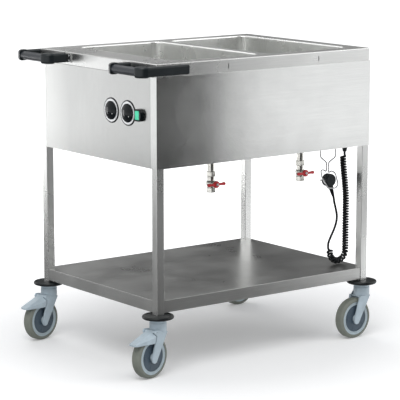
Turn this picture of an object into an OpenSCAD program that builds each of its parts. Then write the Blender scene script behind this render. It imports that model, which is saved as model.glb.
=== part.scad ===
// Hostess trolley: a two-well heated serving trolley on swivel casters.
// X runs along the trolley with the control end at -X, Y across it, Z up from the floor.
// The origin is on the floor, under the middle of the whole trolley's box.

/* [Body] */
// Length of the closed body over its panels
body_l = 805; // [790:1:840]
// Width of the closed body over its panels
body_w = 600; // [590:1:640]
// Height of the deck above the floor
deck_h = 900; // [880:1:940]
// Height of the closed body, from its lower edge to the deck
skirt_h = 299; // [290:1:320]
// Height of the deck's turned-down band
band_h = 38; // [34:1:46]
// Thickness of the sheet metal
sheet_t = 1.5; // [1.2:0.1:2]
// Radius of the deck's outer edge bend
edge_r = 3; // [2.5:0.5:5]
// Depth of the side panels' return round the posts
wrap_w = 30; // [28:1:40]
// Depth of the small returns that stiffen each panel
lip_w = 8; // [6:1:8]
// Gap between neighbouring sheets
seam = 0.3; // [0.2:0.1:0.4]

/* [Posts and shelf] */
// Side of a square corner post
post_w = 25; // [24:1:28]
// Wall of a corner post
post_t = 2; // [1.5:0.1:2.5]
// Height of the foot of the posts above the floor
post_foot = 178; // [176:1:186]
// Height of the shelf's top above the floor
shelf_h = 219; // [216:1:226]
// Height of the shelf's turned-down edge
shelf_edge = 36; // [30:1:38]
// Inset of the shelf's edge from the outside of the posts
shelf_inset = 1.5; // [1:0.5:4]

/* [Wells] */
// Opening of one well along X
well_l = 308; // [300:1:312]
// Opening of one well across the body
well_w = 510; // [490:1:516]
// Corner radius of a well
well_r = 32; // [26:1:40]
// Depth of a well below the deck
well_d = 200; // [160:1:204]
// Distance between the centres of the wells
well_pitch = 342; // [336:1:346]
// Distance of the wells' middle from the body's middle
wells_x = 26; // [20:1:28]
// Radius of the lip where a well meets the deck
lip_r = 4; // [3:0.5:5]
// Radius between a well's walls and its floor
floor_r = 15; // [8:1:18]
// Distance of the drains from the body's middle, towards -Y
drain_y = 216; // [200:1:218]

/* [Controls] */
// Height of the controls above the floor
control_z = 749; // [735:1:775]
// Distance of the first knob from the body's middle
knob_1_y = 78; // [70:1:85]
// Distance between the knobs
knob_pitch = 83; // [79:1:88]
// Diameter of a knob
knob_d = 53; // [48:1:60]
// Depth of a knob
knob_h = 8.5; // [7:0.5:12]
// Diameter of a knob's bezel
bezel_d = 74; // [66:1:76]
// Thickness of a knob's bezel
bezel_t = 1.6; // [1.2:0.2:2.4]
// Diameter of a thermostat's spindle
spindle_d = 6; // [5:0.5:8]
// Distance of the switch from the body's middle
switch_y = 223; // [222:1:228]
// Width of the switch housing
switch_w = 30; // [28:1:32]
// Height of the switch housing
switch_s = 35; // [33:1:37]
// Depth of the switch housing
switch_d = 11; // [10:1:13]

/* [Handles] */
// Reach of the handles in front of the deck's band
handle_reach = 74; // [66:1:84]
// How far the handles' outer faces stand out from the posts
handle_out = 27; // [25:0.5:34]
// Width of a handle over both of its arms
handle_w = 171.5; // [150:0.5:180]
// Thickness of a handle's arms
arm_t = 24; // [16:1:26]
// Height of a handle's arms
arm_h = 28; // [24:1:30]
// Height of the middle of the handles below the deck
handle_drop = 18; // [17:0.5:21]
// Outer radius of a handle's corners
handle_r = 28; // [26:1:32]
// Diameter of the grip tube
grip_d = 25; // [20:1:26]
// Length of the outer arm past the deck's corner
arm_l = 96; // [80:1:130]
// Length of the steel strap that shows past the arm
strap_show = 11; // [6:1:20]
// Width of the steel foot beside the inner arm
foot_w = 23; // [15:1:30]

/* [Casters] */
// Diameter of a wheel
wheel_d = 125; // [110:1:128]
// Width of a wheel
wheel_w = 32; // [26:1:34]
// Trail of a wheel behind its swivel axis
trail = 37; // [32:1:40]
// Diameter of a caster's head
head_d = 50; // [46:1:54]
// Diameter of a wheel's rim
rim_d = 107; // [96:1:108]
// Diameter of a wheel's side cover
cover_d = 80; // [64:1:84]
// Diameter of an axle
axle_d = 8; // [6:0.5:10]
// Diameter of a caster's stem
stem_d = 12; // [10:0.5:14]
// Turn of the casters at the control end
yaw_front = 12; // [0:1:20]
// Turn of the casters at the far end
yaw_back = 2; // [0:1:20]
// Diameter of a corner bumper
bumper_d = 93; // [86:1:96]
// Thickness of a corner bumper
bumper_t = 10; // [8:1:12]
// Reach of a brake pedal from the swivel axis
pedal_reach = 110; // [104:1:116]
// Lowest edge of a brake pedal above the floor
pedal_low = 105; // [102:1:108]

/* [Drains] */
// Outside diameter of a drain pipe
pipe_d = 21; // [18:0.5:22]
// Bore of a drain pipe and valve
drain_bore = 15; // [12:0.5:15.5]
// Height of the valve's inlet above the floor
valve_top = 562; // [550:1:580]
// Height of a valve
valve_h = 62; // [60:1:76]
// Diameter of the valve's ball housing
valve_d = 29; // [26:1:30]
// Half the span of the valve's handle
wing_l = 33; // [24:1:38]

/* [Cord] */
// Diameter of the cord
cord_d = 7; // [6:0.1:7.1]
// Outer diameter of the curly part
curl_d = 21; // [20:0.2:21.6]
// Distance between two curls
curl_pitch = 8.6; // [8.2:0.1:9.6]
// Radius of the bend at the bottom of the curly part
bend_r = 32; // [31.5:0.5:34]
// Diameter of the holder's wire
wire_d = 4; // [3:0.5:5]
// Diameter of the plug's body
plug_d = 40; // [34:1:42]
// Thickness of the plug's body
plug_t = 25; // [20:1:28]

/* [Hidden] */
$fn = 64;
tiny = 0.01;
run = 0.08;                 // radial clearance of a running fit
gap = 0.3;                  // clearance between neighbours that don't touch
steel = [0.78, 0.79, 0.80];
black = [0.07, 0.08, 0.09];
caster_grey = [0.66, 0.73, 0.77];

panel_x = body_l/2;                     // outer face of the end panels
panel_y = body_w/2;                     // outer face of the side panels
frame_x = panel_x - sheet_t;            // outside of the posts and of the deck's band
frame_y = panel_y - sheet_t;
band_z = deck_h - band_h;               // lower edge of the deck's band
skirt_z = deck_h - skirt_h;             // lower edge of the closed body
pan_z = skirt_z + sheet_t;              // underside of the base pan
post_x = frame_x - post_w/2;            // centre of a post
post_y = frame_y - post_w/2;
axis_x = frame_x - 10;                  // swivel axis of a caster
axis_y = frame_y - 11;

wheel_r = wheel_d/2;
bumper_z = post_foot - bumper_t;        // underside of a corner bumper
head_top = bumper_z - gap;
fork_w = head_d;
fork_gap = wheel_w/2 + 3;               // half the space between a fork's legs
wheel_air = 4;                          // space round the tyre inside a fork
boss_r = 10.5;                          // rounded end of a fork's leg
hinge_x = 32;                           // brake pedal's hinge, from the swivel axis
hinge_z = wheel_r + 71.5;
hinge_r = 5;
ear_r = 7;
pin_r = 3;
tip_r = 30;                             // rounding of a pedal's tip in plan
pedal_slope = 20;                       // fall of a pedal's top towards its tip

// The whole box runs from the pedals' tips to the bumpers' edges.
tip_x = axis_x + (pedal_reach - tip_r)*cos(yaw_front) + tip_r;
body_x = (tip_x - axis_x - bumper_d/2)/2;

// ---------- shared shapes ----------

// The body stands beside the origin, because the pedals reach further than the bumpers.
module placed() translate([body_x, 0, 0]) children();

// A rectangle with rounded corners, about the origin.
module round_rect(l, w, r) {
    square([l, w - 2*r], center = true);
    square([l - 2*r, w], center = true);
    for (sx = [-1, 1], sy = [-1, 1])
        translate([sx*(l/2 - r), sy*(w/2 - r)]) circle(r);
}

// Sweeps a profile round a rounded rectangle. The profile's x points outwards from it.
module sweep_round(l, w, r) {
    for (k = [0:3]) {
        a = k % 2 == 0 ? l : w;
        b = k % 2 == 0 ? w : l;
        rotate(90*k) {
            translate([a/2, b/2 - r, 0]) rotate([90, 0, 0])
                linear_extrude(b - 2*r) children();
            translate([a/2 - r, b/2 - r, 0])
                rotate_extrude(angle = 90) translate([r, 0]) children();
        }
    }
}

// A quarter of a flat ring in the first quadrant.
module quarter_ring(r, t) {
    intersection() {
        difference() {
            circle(r);
            circle(r - t);
        }
        square(r);
    }
}

// A plate between two corners.
module plate(low, high) translate(low) cube(high - low);

module at_corners(x, y) for (sx = [-1, 1], sy = [-1, 1]) translate([sx*x, sy*y, 0]) children();

// ---------- deck and wells ----------

function well_x(i) = wells_x + (i - 0.5)*well_pitch;

module top_deck() {
    inner_l = 2*frame_x - 2*edge_r;
    inner_w = 2*frame_y - 2*edge_r;
    flange = 18;
    placed() color(steel) {
        difference() {
            translate([0, 0, deck_h - sheet_t]) linear_extrude(sheet_t)
                round_rect(inner_l, inner_w, 1);
            for (i = [0, 1])
                translate([well_x(i), 0, deck_h - 2*sheet_t]) linear_extrude(3*sheet_t)
                    round_rect(well_l + 2*(lip_r + seam), well_w + 2*(lip_r + seam),
                        well_r + lip_r + seam);
        }
        difference() {
            sweep_round(inner_l, inner_w, 1) {
                translate([0, deck_h - edge_r]) quarter_ring(edge_r, sheet_t);
                translate([edge_r - sheet_t, band_z]) square([sheet_t, band_h - edge_r]);
            }
            for (i = [0, 1]) translate([well_x(i), -frame_y, deck_h - 21])
                cube([2.5, 4*sheet_t, 16], center = true);
        }
        translate([0, 0, band_z]) linear_extrude(sheet_t) difference() {
            round_rect(2*frame_x - 2*sheet_t, 2*frame_y - 2*sheet_t, edge_r + 1 - sheet_t);
            square([2*(frame_x - flange), 2*(frame_y - flange)], center = true);
        }
    }
}

module well(i) {
    well_z = deck_h - well_d;
    placed() color(steel) translate([well_x(i), 0, 0]) difference() {
        union() {
            sweep_round(well_l, well_w, well_r) {
                translate([0, well_z + floor_r]) square([sheet_t, well_d - floor_r - lip_r]);
                translate([lip_r, deck_h - lip_r]) mirror([1, 0]) quarter_ring(lip_r, sheet_t);
                translate([sheet_t - tiny, deck_h - 2*sheet_t]) square([lip_r + 8, sheet_t]);
                translate([-floor_r, well_z + floor_r]) mirror([0, 1])
                    quarter_ring(floor_r + sheet_t, sheet_t);
            }
            translate([0, 0, well_z - sheet_t]) linear_extrude(sheet_t)
                round_rect(well_l - 2*floor_r, well_w - 2*floor_r, well_r - floor_r);
        }
        translate([0, -drain_y, well_z - 2*sheet_t]) cylinder(d = drain_bore, h = 3*sheet_t);
    }
}
module well_control_end() well(0);
module well_far_end() well(1);

// ---------- posts and panels ----------

module corner_posts() placed() color(steel) at_corners(post_x, post_y)
    translate([0, 0, post_foot]) linear_extrude(band_z - post_foot) difference() {
        square(post_w, center = true);
        square(post_w - 2*post_t, center = true);
    }

// A side panel: a long face with its ends wrapped round the posts.
module side_panel() {
    z0 = skirt_z;
    z1 = band_z;
    inside_y = panel_y - wrap_w;
    between = frame_x - post_w - gap;
    color(steel) {
        plate([-panel_x, -panel_y, z0], [panel_x, -frame_y, z1]);
        for (s = [-1, 1]) {
            a = s > 0 ? frame_x : -panel_x;
            b = s > 0 ? panel_x : -frame_x;
            plate([a, -panel_y, z0], [b, -inside_y, z1]);
            c = s > 0 ? frame_x - lip_w : -frame_x;
            d = s > 0 ? frame_x : -frame_x + lip_w;
            plate([c, -inside_y - sheet_t, z0], [d, -inside_y, z1]);
        }
        plate([-between, -frame_y, z0], [between, -frame_y + lip_w, z0 + sheet_t]);
        plate([-between, -frame_y, z1 - sheet_t], [between, -frame_y + lip_w, z1]);
    }
}
module side_panel_near() placed() side_panel();
module side_panel_far() placed() mirror([0, 1, 0]) side_panel();

// An end panel fits between the side panels' wraps.
module end_sheet() {
    half = panel_y - wrap_w - seam;
    plate([-panel_x, -half, skirt_z], [-frame_x, half, band_z]);
    for (s = [-1, 1]) {
        y0 = s > 0 ? half - sheet_t : -half;
        plate([-frame_x, y0, skirt_z], [-frame_x + lip_w, y0 + sheet_t, band_z]);
    }
    for (z = [skirt_z, band_z - sheet_t])
        plate([-frame_x, -half, z], [-frame_x + lip_w, half, z + sheet_t]);
}

function knob_y(i) = -knob_1_y - i*knob_pitch;

// Places children on the control panel's face, with their z pointing out of it.
module on_panel(y, z) translate([-panel_x, y, z]) rotate([0, -90, 0]) children();

hole_h = switch_s - 12;
hole_w = switch_w - 9;
module control_panel() placed() color(steel) difference() {
    end_sheet();
    for (i = [0, 1]) on_panel(knob_y(i), control_z)
        translate([0, 0, -2*sheet_t]) cylinder(d = spindle_d + 4, h = 3*sheet_t);
    on_panel(-switch_y, control_z) cube([hole_h, hole_w, 4*sheet_t], center = true);
}
module end_panel() placed() color(steel) mirror([1, 0, 0]) end_sheet();

module base_pan() placed() color(steel) difference() {
    plate([-frame_x + seam, -frame_y + seam, pan_z],
        [frame_x - seam, frame_y - seam, pan_z + sheet_t]);
    at_corners(frame_x, frame_y) translate([0, 0, pan_z])
        cube([2*(post_w + gap), 2*(post_w + gap), 3*sheet_t], center = true);
    for (sx = [-1, 1], sy = [-1, 1])
        translate([sx*frame_x, sy*(panel_y - wrap_w - seam), pan_z])
            cube([2*(lip_w + gap), 2*(sheet_t + 2*seam), 3*sheet_t], center = true);
    for (i = [0, 1]) translate([well_x(i), -drain_y, pan_z - sheet_t])
        cylinder(d = pipe_d + 2, h = 3*sheet_t);
}

// ---------- inside the body ----------

module well_heaters() {
    top = deck_h - well_d - sheet_t;
    heat_d = 8.5;
    plate_t = 3;
    plate_l = well_l - 68;
    plate_w = well_w - 110;
    bend = plate_l/8;                       // bend radius of an element
    placed() color([0.45, 0.45, 0.47]) for (i = [0, 1]) translate([well_x(i), 30, top]) {
        translate([-plate_l/2, -plate_w/2, -plate_t]) cube([plate_l, plate_w, plate_t]);
        for (s = [-1, 1]) translate([s*2*bend, 0, -plate_t - heat_d/2 + 0.5]) {
            for (e = [-1, 1]) translate([e*bend, 20 - plate_w/2, 0]) rotate([-90, 0, 0])
                cylinder(d = heat_d, h = plate_w - 50 - bend);
            translate([0, plate_w/2 - 30 - bend, 0]) rotate_extrude(angle = 180)
                translate([bend, 0]) circle(d = heat_d);
        }
    }
}

module thermostats() {
    deep = 32;
    placed() color([0.85, 0.82, 0.74]) for (i = [0, 1])
        on_panel(knob_y(i), control_z) difference() {
            union() {
                translate([-22, -18, -sheet_t - deep]) cube([44, 36, deep]);
                translate([0, 0, -sheet_t - deep - 12]) cylinder(d = 20, h = 13);
            }
            translate([0, 0, -sheet_t - deep + 6])
                cylinder(r = spindle_d/2 + run, h = deep);
        }
}

// ---------- controls ----------

module knob_bezels() placed() color([0.7, 0.71, 0.72]) for (i = [0, 1])
    on_panel(knob_y(i), control_z) difference() {
        union() {
            cylinder(d = bezel_d, h = bezel_t);
            cylinder(d = bezel_d - 7, h = bezel_t + 0.8);
        }
        translate([0, 0, -1]) cylinder(d = spindle_d + 4, h = bezel_t + 3);
    }

// A low domed knob with a rounded rim, on its spindle.
module knob(i) {
    foot = bezel_t + 0.8 + gap;
    rim = 0.45*knob_h;
    r = knob_d/2;
    rise = knob_h - 1.4*rim;                // height of the dome over the rim's edge
    dome = (r*r + rise*rise)/2/rise;
    placed() color(black) on_panel(knob_y(i), control_z) {
        intersection() {
            rotate_extrude() {
                translate([0, foot]) square([r, rim]);
                translate([0, foot]) square([r - rim, knob_h + 1]);
                translate([r - rim, foot + rim]) circle(rim);
                translate([r - rim - 0.1, foot + 2*rim - 0.1]) square([0.1, knob_h + 1 - 2*rim]);
            }
            translate([0, 0, foot + knob_h - dome]) sphere(dome, $fn = 180);
        }
        translate([0, 0, -sheet_t - 20]) cylinder(d = spindle_d, h = 20 + sheet_t + foot + 1);
    }
}
module knob_1() knob(0);
module knob_2() knob(1);

rocker_s = switch_s - 10;
rocker_w = switch_w - 10;
rocker_off = 2;             // the rocker lies this far from the housing's middle
pivot_in = 7;               // rocker pivot's depth below the housing's face
rocker_tilt = 8;
housing_r = 0.72*switch_w;  // rounding of the housing's outer side
module switch_housing() placed() color(black) on_panel(-switch_y, control_z) difference() {
    union() {
        linear_extrude(switch_d) intersection() {
            round_rect(switch_s, switch_w, 3);
            translate([0, housing_r - switch_w/2]) circle(housing_r, $fn = 120);
        }
        translate([0, 0, -20]) linear_extrude(20 + tiny)
            square([hole_h - 2*seam, hole_w - 2*seam], center = true);
    }
    translate([-rocker_s/2 - gap, rocker_off - rocker_w/2 - 1, switch_d - pivot_in - 3.7])
        cube([rocker_s + 2*gap, rocker_w + 2, switch_d + 10]);
    translate([-rocker_s/2 - 1.5, rocker_off, switch_d - pivot_in]) rotate([0, 90, 0])
        cylinder(r = 1.5 + run, h = rocker_s + 3);
}

// The rocker turns about a vertical pivot. Its two faces meet in a shallow V.
module switch_rocker() placed() color([0.35, 0.85, 0.65]) on_panel(-switch_y, control_z)
    translate([0, rocker_off, switch_d - pivot_in]) rotate([rocker_tilt, 0, 0]) {
        half = rocker_w/2 - 0.6;
        translate([-rocker_s/2, 0, 0]) rotate([90, 0, 90]) linear_extrude(rocker_s)
            polygon([[-half, -2], [half, -2], [half, 8], [0, 6.4], [-half, 8]]);
        translate([-rocker_s/2 - 1.3, 0, 0]) rotate([0, 90, 0])
            cylinder(r = 1.5, h = rocker_s + 2.6);
    }

// ---------- shelf ----------

module shelf() {
    x1 = frame_x - shelf_inset;
    y1 = frame_y - shelf_inset;
    notch = post_w + gap - shelf_inset;
    low = shelf_h - shelf_edge;
    lip = 14;
    placed() color(steel) difference() {
        union() {
            plate([-x1, -y1, low], [x1, y1, shelf_h]);
        }
        difference() {
            plate([-x1 + sheet_t, -y1 + sheet_t, low + sheet_t],
                [x1 - sheet_t, y1 - sheet_t, shelf_h - sheet_t]);
            for (s = [-1, 0, 1]) plate([-x1, s*y1*0.55 - 25, shelf_h - 2*sheet_t - 14],
                [x1, s*y1*0.55 + 25, shelf_h]);
        }
        for (s = [-1, 0, 1]) plate([-x1 + lip, s*y1*0.55 - 25 + sheet_t, low - 1],
            [x1 - lip, s*y1*0.55 + 25 - sheet_t, shelf_h - 2*sheet_t]);
        plate([-x1 + lip, -y1 + lip, low - 1], [x1 - lip, y1 - lip, low + sheet_t + tiny]);
        at_corners(x1, y1) translate([0, 0, shelf_h])
            cube([2*notch, 2*notch, 3*shelf_edge], center = true);
    }
}

// ---------- handles ----------

handle_x = -frame_x - handle_reach;     // front of the handles
handle_z = deck_h - handle_drop;        // middle of the handles
handle_y = frame_y + handle_out;        // outer face of the outer arm
handle_in_y = handle_y - handle_w;      // outer face of the inner arm
strap_t = max(0.5, handle_out - arm_t); // steel strap between the outer arm and the band

module arm_section(grow = 0) translate([arm_t/2, 0])
    round_rect(arm_t + 2*grow, arm_h + 2*grow, 6 + grow);

// One handle: an outer arm along the side, two corners, and an inner arm to the end.
module handle(s) {
    block = 2;
    placed() color(black) mirror([0, s > 0 ? 1 : 0, 0]) translate([0, 0, handle_z]) {
        translate([handle_x + handle_r, -handle_y, 0]) rotate([90, 0, 90])
            linear_extrude(-frame_x - handle_x - handle_r + arm_l) arm_section();
        translate([handle_x + handle_r, -handle_in_y, 0]) mirror([0, 1, 0]) rotate([90, 0, 90])
            linear_extrude(-frame_x - handle_x - handle_r - strap_t) arm_section();
        for (m = [0, 1]) {
            cy = m == 0 ? -handle_y + handle_r : -handle_in_y - handle_r;
            translate([handle_x + handle_r, cy, 0]) mirror([0, m, 0]) rotate(180)
                rotate_extrude(angle = 90) translate([handle_r - arm_t, 0]) arm_section(block);
        }
    }
}
module handle_near() handle(-1);
module handle_far() handle(1);

module handle_grips() placed() color([0.2, 0.22, 0.27]) for (s = [-1, 1])
    translate([handle_x + arm_t/2, s*(handle_in_y + handle_r), handle_z]) rotate([-90*s, 0, 0])
        cylinder(d = grip_d, h = handle_y - handle_in_y - 2*handle_r);

module handle_steel() placed() color(steel) for (m = [0, 1]) mirror([0, m, 0]) {
    plate([-frame_x, -frame_y - strap_t, handle_z - arm_h/2 + 1],
        [-frame_x + arm_l + strap_show, -frame_y, handle_z + arm_h/2 - 1]);
    plate([-frame_x - strap_t, -handle_in_y - arm_t, handle_z - arm_h/2 + 1],
        [-frame_x, -handle_in_y + foot_w, handle_z + arm_h/2 - 1]);
}

// ---------- casters ----------

function caster_x(i) = i < 2 ? -axis_x : axis_x;
function caster_y(i) = i % 2 == 0 ? -axis_y : axis_y;
function caster_yaw(i) = i < 2 ? yaw_front : yaw_back;

// A caster's own frame: x points along its trail, z up through its swivel axis.
module at_caster(i) placed() translate([caster_x(i), caster_y(i), 0])
    rotate(180 + caster_yaw(i)) children();
// A wheel's own frame: z lies along the axle.
module at_axle() translate([trail, 0, wheel_r]) rotate([-90, 0, 0]) children();

module corner_bumpers() placed() color(black) for (i = [0:3])
    translate([caster_x(i), caster_y(i), bumper_z]) difference() {
        rotate_extrude() {
            square([bumper_d/2 - bumper_t/2, bumper_t]);
            translate([bumper_d/2 - bumper_t/2, bumper_t/2]) circle(d = bumper_t);
        }
        translate([0, 0, -1]) cylinder(d = stem_d + 0.6, h = bumper_t + 2);
        translate([0, 0, bumper_t + 2.5]) rotate_extrude()
            translate([bumper_d/2 - bumper_t - 3, 0]) circle(r = 4);
    }

module caster_stems() placed() color([0.6, 0.61, 0.62]) for (i = [0:3]) {
    sx = i < 2 ? -1 : 1;
    sy = i % 2 == 0 ? -1 : 1;
    block = post_w - 2*post_t - 0.2;
    translate([sx*post_x, sy*post_y, post_foot]) translate([-block/2, -block/2, 0])
        cube([block, block, 38]);
    translate([caster_x(i), caster_y(i), head_top - 18])
        cylinder(d = stem_d, h = 18 + gap + bumper_t + 6);
}

// A fork's side outline: the head, and a leg that ends a little below the axle.
module fork_outline() {
    z = wheel_r;
    foot = [trail + 3, z - 6];
    polygon([[-head_d/2 + 1, head_top - 18], [head_d/2, head_top - 18], [29, z + 66],
        [36, z + 44], foot + boss_r*[0.94, 0.34], foot, foot - boss_r*[0.96, 0.28],
        [-1, z + 46], [-19, z + 78]]);
    translate(foot) circle(boss_r);
}

module caster_fork(i) {
    braked = i < 2;
    at_caster(i) color(caster_grey) difference() {
        union() {
            translate([0, 0, head_top - 18]) cylinder(d = head_d, h = 18);
            intersection() {
                translate([0, fork_w/2, 0]) rotate([90, 0, 0]) linear_extrude(fork_w)
                    fork_outline();
                union() {
                    translate([0, 0, wheel_r + 64]) cylinder(d = head_d, h = 60);
                    translate([-head_d, -fork_w/2, 0])
                        cube([2*head_d, fork_w, wheel_r + 70]);
                }
            }
            translate([0, fork_w/2, 0]) rotate([90, 0, 0]) linear_extrude(fork_w) {
                if (braked) {
                    translate([hinge_x, hinge_z]) circle(ear_r);
                    polygon([[10, hinge_z + 4], [hinge_x, hinge_z + ear_r],
                        [hinge_x + 6, hinge_z - 4], [20, wheel_r + 52]]);
                }
            }
        }
        at_axle() cylinder(r = wheel_r + wheel_air, h = 2*fork_gap, center = true, $fn = 96);
        translate([hinge_x - 6.5, -fork_gap, wheel_r])
            cube([60, 2*fork_gap, 120]);
        at_axle() cylinder(r = axle_d/2 + run, h = fork_w - 4, center = true);
        if (braked) translate([hinge_x, 0, hinge_z]) rotate([90, 0, 0])
            cylinder(r = pin_r + run, h = fork_w + 2, center = true);
        translate([0, 0, head_top - 19]) cylinder(r = stem_d/2 + run, h = 30);
        translate([0, 0, head_top - 9]) rotate_extrude() translate([head_d/2 + 0.8, 0])
            circle(r = 2);
    }
}
module caster_fork_1() caster_fork(0);
module caster_fork_2() caster_fork(1);
module caster_fork_3() caster_fork(2);
module caster_fork_4() caster_fork(3);

module wheel_axle(i) at_caster(i) color([0.7, 0.7, 0.7]) at_axle()
    cylinder(d = axle_d, h = fork_w - 4 - 2*gap, center = true);
module wheel_axle_1() wheel_axle(0);
module wheel_axle_2() wheel_axle(1);
module wheel_axle_3() wheel_axle(2);
module wheel_axle_4() wheel_axle(3);

hub_half = fork_gap - 1;
cover_t = 2.5;
module wheel_rim(i) at_caster(i) color(caster_grey) at_axle() difference() {
    union() {
        cylinder(d = rim_d, h = wheel_w - 3, center = true, $fn = 96);
        cylinder(d = 24, h = 2*hub_half, center = true);
    }
    for (m = [0, 1]) mirror([0, 0, m]) translate([0, 0, wheel_w/2 - 6]) difference() {
        cylinder(d = cover_d + 1, h = 10);
        translate([0, 0, -1]) cylinder(d = 24, h = 12);
    }
    cylinder(r = axle_d/2 + run, h = wheel_w + 20, center = true);
}
module wheel_rim_1() wheel_rim(0);
module wheel_rim_2() wheel_rim(1);
module wheel_rim_3() wheel_rim(2);
module wheel_rim_4() wheel_rim(3);

module wheel_cover(i) at_caster(i) color([0.30, 0.36, 0.43]) at_axle()
    for (m = [0, 1]) mirror([0, 0, m]) translate([0, 0, wheel_w/2 - 6]) difference() {
        union() {
            cylinder(d = cover_d, h = cover_t);
            cylinder(d1 = cover_d - 8, d2 = 40, h = cover_t + 2);
        }
        translate([0, 0, -1]) cylinder(d = 24 + 2*gap, h = 12);
    }
module wheel_cover_1() wheel_cover(0);
module wheel_cover_2() wheel_cover(1);
module wheel_cover_3() wheel_cover(2);
module wheel_cover_4() wheel_cover(3);

module tyre(i) at_caster(i) color([0.42, 0.44, 0.43]) at_axle() difference() {
    rotate_extrude($fn = 96) {
        shoulder = 9;
        translate([0, -wheel_w/2]) square([wheel_r - shoulder, wheel_w]);
        translate([0, -wheel_w/2 + shoulder]) square([wheel_r, wheel_w - 2*shoulder]);
        for (s = [-1, 1]) translate([wheel_r - shoulder, s*(wheel_w/2 - shoulder)])
            circle(shoulder);
    }
    cylinder(r = rim_d/2 + gap, h = wheel_w + 2, center = true, $fn = 96);
}
module tyre_1() tyre(0);
module tyre_2() tyre(1);
module tyre_3() tyre(2);
module tyre_4() tyre(3);

// The pedal's side outline. Its rear edge keeps clear of the fork's leg as the pedal turns.
// Here and below, t is how far inside the pedal's outer face a wall's inner face lies.
module pedal_side(t = 0) {
    z = hinge_z + hinge_r;
    u = hinge_x;
    polygon([[u - 4, z - t], [pedal_reach + 2, z - t], [pedal_reach + 2, pedal_low - 4*t],
        [u + 7.6, pedal_low - 4*t], [u + 4.4, z - 22], [u + 3.2, z - 14.5],
        [u + 6.5, hinge_z - 4.5], [u + 7.8, hinge_z]]);
}

// The pedal seen from above: it narrows towards its rounded tip.
module pedal_plan(t = 0) {
    half = fork_w/2 + 1 - t;
    tip_half = half - 12.5;
    intersection() {
        polygon([[0, -half], [48, -half], [pedal_reach + 1, -tip_half],
            [pedal_reach + 1, tip_half], [48, half], [0, half]]);
        union() {
            translate([pedal_reach - tip_r, 0]) circle(tip_r - t, $fn = 96);
            translate([0, t - tip_r]) square([pedal_reach - tip_r, 2*(tip_r - t)]);
        }
    }
}

// Seen along its slope, the pedal has a flat top with sloping shoulders.
module pedal_section(t = 0) {
    half = fork_w/2 + 3;
    polygon([[-half, -90], [-half, -12.5 - t], [-12, -t], [12, -t], [half, -12.5 - t], [half, -90]]);
}

module pedal_form(t = 0) intersection() {
    wide = fork_w/2 + 2;
    translate([0, wide, 0]) rotate([90, 0, 0]) linear_extrude(2*wide) pedal_side(t);
    linear_extrude(200) pedal_plan(t);
    translate([hinge_x, 0, hinge_z + hinge_r]) rotate([90 + pedal_slope, 0, 90])
        translate([0, 0, -60]) linear_extrude(200) pedal_section(t);
}

module brake_pedal(i) at_caster(i) color(caster_grey) {
    wide = fork_w/2 + 2;
    inner = fork_gap - gap;
    difference() {
        pedal_form();
        pedal_form(3);
        for (s = [-1, 1]) translate([0, s*(wide + inner)/2, hinge_z]) {
            rotate([90, 0, 0]) translate([hinge_x, 0, -(wide - inner)/2])
                cylinder(r = ear_r + 0.8, h = wide - inner);
            translate([0, -(wide - inner)/2, -20]) cube([hinge_x + 1, wide - inner, 80]);
        }
    }
    translate([hinge_x, 0, hinge_z]) rotate([90, 0, 0]) {
        cylinder(r = hinge_r, h = 2*inner, center = true);
        cylinder(r = pin_r, h = fork_w, center = true);
    }
}
module brake_pedal_1() brake_pedal(0);
module brake_pedal_2() brake_pedal(1);

// ---------- drains ----------

module at_drain(i) placed() translate([well_x(i), -drain_y, 0]) children();

module drain_pipes() for (i = [0, 1]) at_drain(i) color([0.7, 0.7, 0.68]) difference() {
    top = deck_h - well_d - sheet_t;
    union() {
        translate([0, 0, valve_top]) cylinder(d = pipe_d, h = top - valve_top);
        translate([0, 0, top - 2.5]) cylinder(d = pipe_d + 15, h = 2.5);
    }
    translate([0, 0, valve_top - 1]) cylinder(d = drain_bore, h = top - valve_top + 2);
}

stem_out = 23;              // reach of the valve's stem from the pipe's axis
valve_mid = valve_top - valve_h*0.58;
module valve_body(i) at_drain(i) color([0.62, 0.60, 0.56]) difference() {
    nut_h = 14;
    union() {
        for (z = [valve_top - nut_h, valve_top - valve_h])
            translate([0, 0, z]) cylinder(d = valve_d, h = nut_h, $fn = 6);
        translate([0, 0, valve_top - valve_h + 4]) cylinder(d = 22, h = valve_h - 8);
        translate([0, 0, valve_mid]) sphere(d = valve_d);
        translate([0, 0, valve_mid]) rotate([90, 0, 0]) cylinder(d = 15, h = stem_out - 3);
    }
    translate([0, 0, valve_top - valve_h - 1]) cylinder(d = drain_bore, h = 21);
    translate([0, 0, valve_top - 16]) cylinder(d = drain_bore, h = 17);
    translate([0, -10, valve_mid]) rotate([90, 0, 0]) cylinder(r = 4 + run, h = stem_out);
}
module valve_body_1() valve_body(0);
module valve_body_2() valve_body(1);

// A butterfly handle on the valve's stem.
module valve_handle(i) at_drain(i) color([0.62, 0.07, 0.10])
    translate([0, -stem_out, valve_mid]) rotate([90, 0, 0]) {
        translate([0, 0, -stem_out + 10.5]) cylinder(r = 4, h = stem_out - 10);
        cylinder(d = 21, h = 7);
        translate([-wing_l + 5, -3.5, 1]) cube([2*wing_l - 10, 7, 5]);
        for (s = [-1, 1]) translate([s*(wing_l - 5), 0, 0.5]) cylinder(r = 5, h = 6);
    }
module valve_handle_1() valve_handle(0);
module valve_handle_2() valve_handle(1);

// ---------- cord and its holder ----------

cord_y = -212;              // plane in which the cord hangs
curl_r = (curl_d - cord_d)/2;
leg_x = frame_x - 12.5;     // axis of the long leg of the curly part
lean = 14;                  // how far the leg's top leans in from that axis
lean_l = 150;               // length over which it leans
gland_low = pan_z - 28.5;   // lower end of the gland
lead = cord_d;              // straight length at each end of the curly part
bend_z = shelf_h + 1.5 + bend_r + curl_d/2;     // height of the centre of the bend
rise = 14;                  // length of the short leg beyond the bend
gland_at = [leg_x - lean, cord_y - curl_r];

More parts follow.
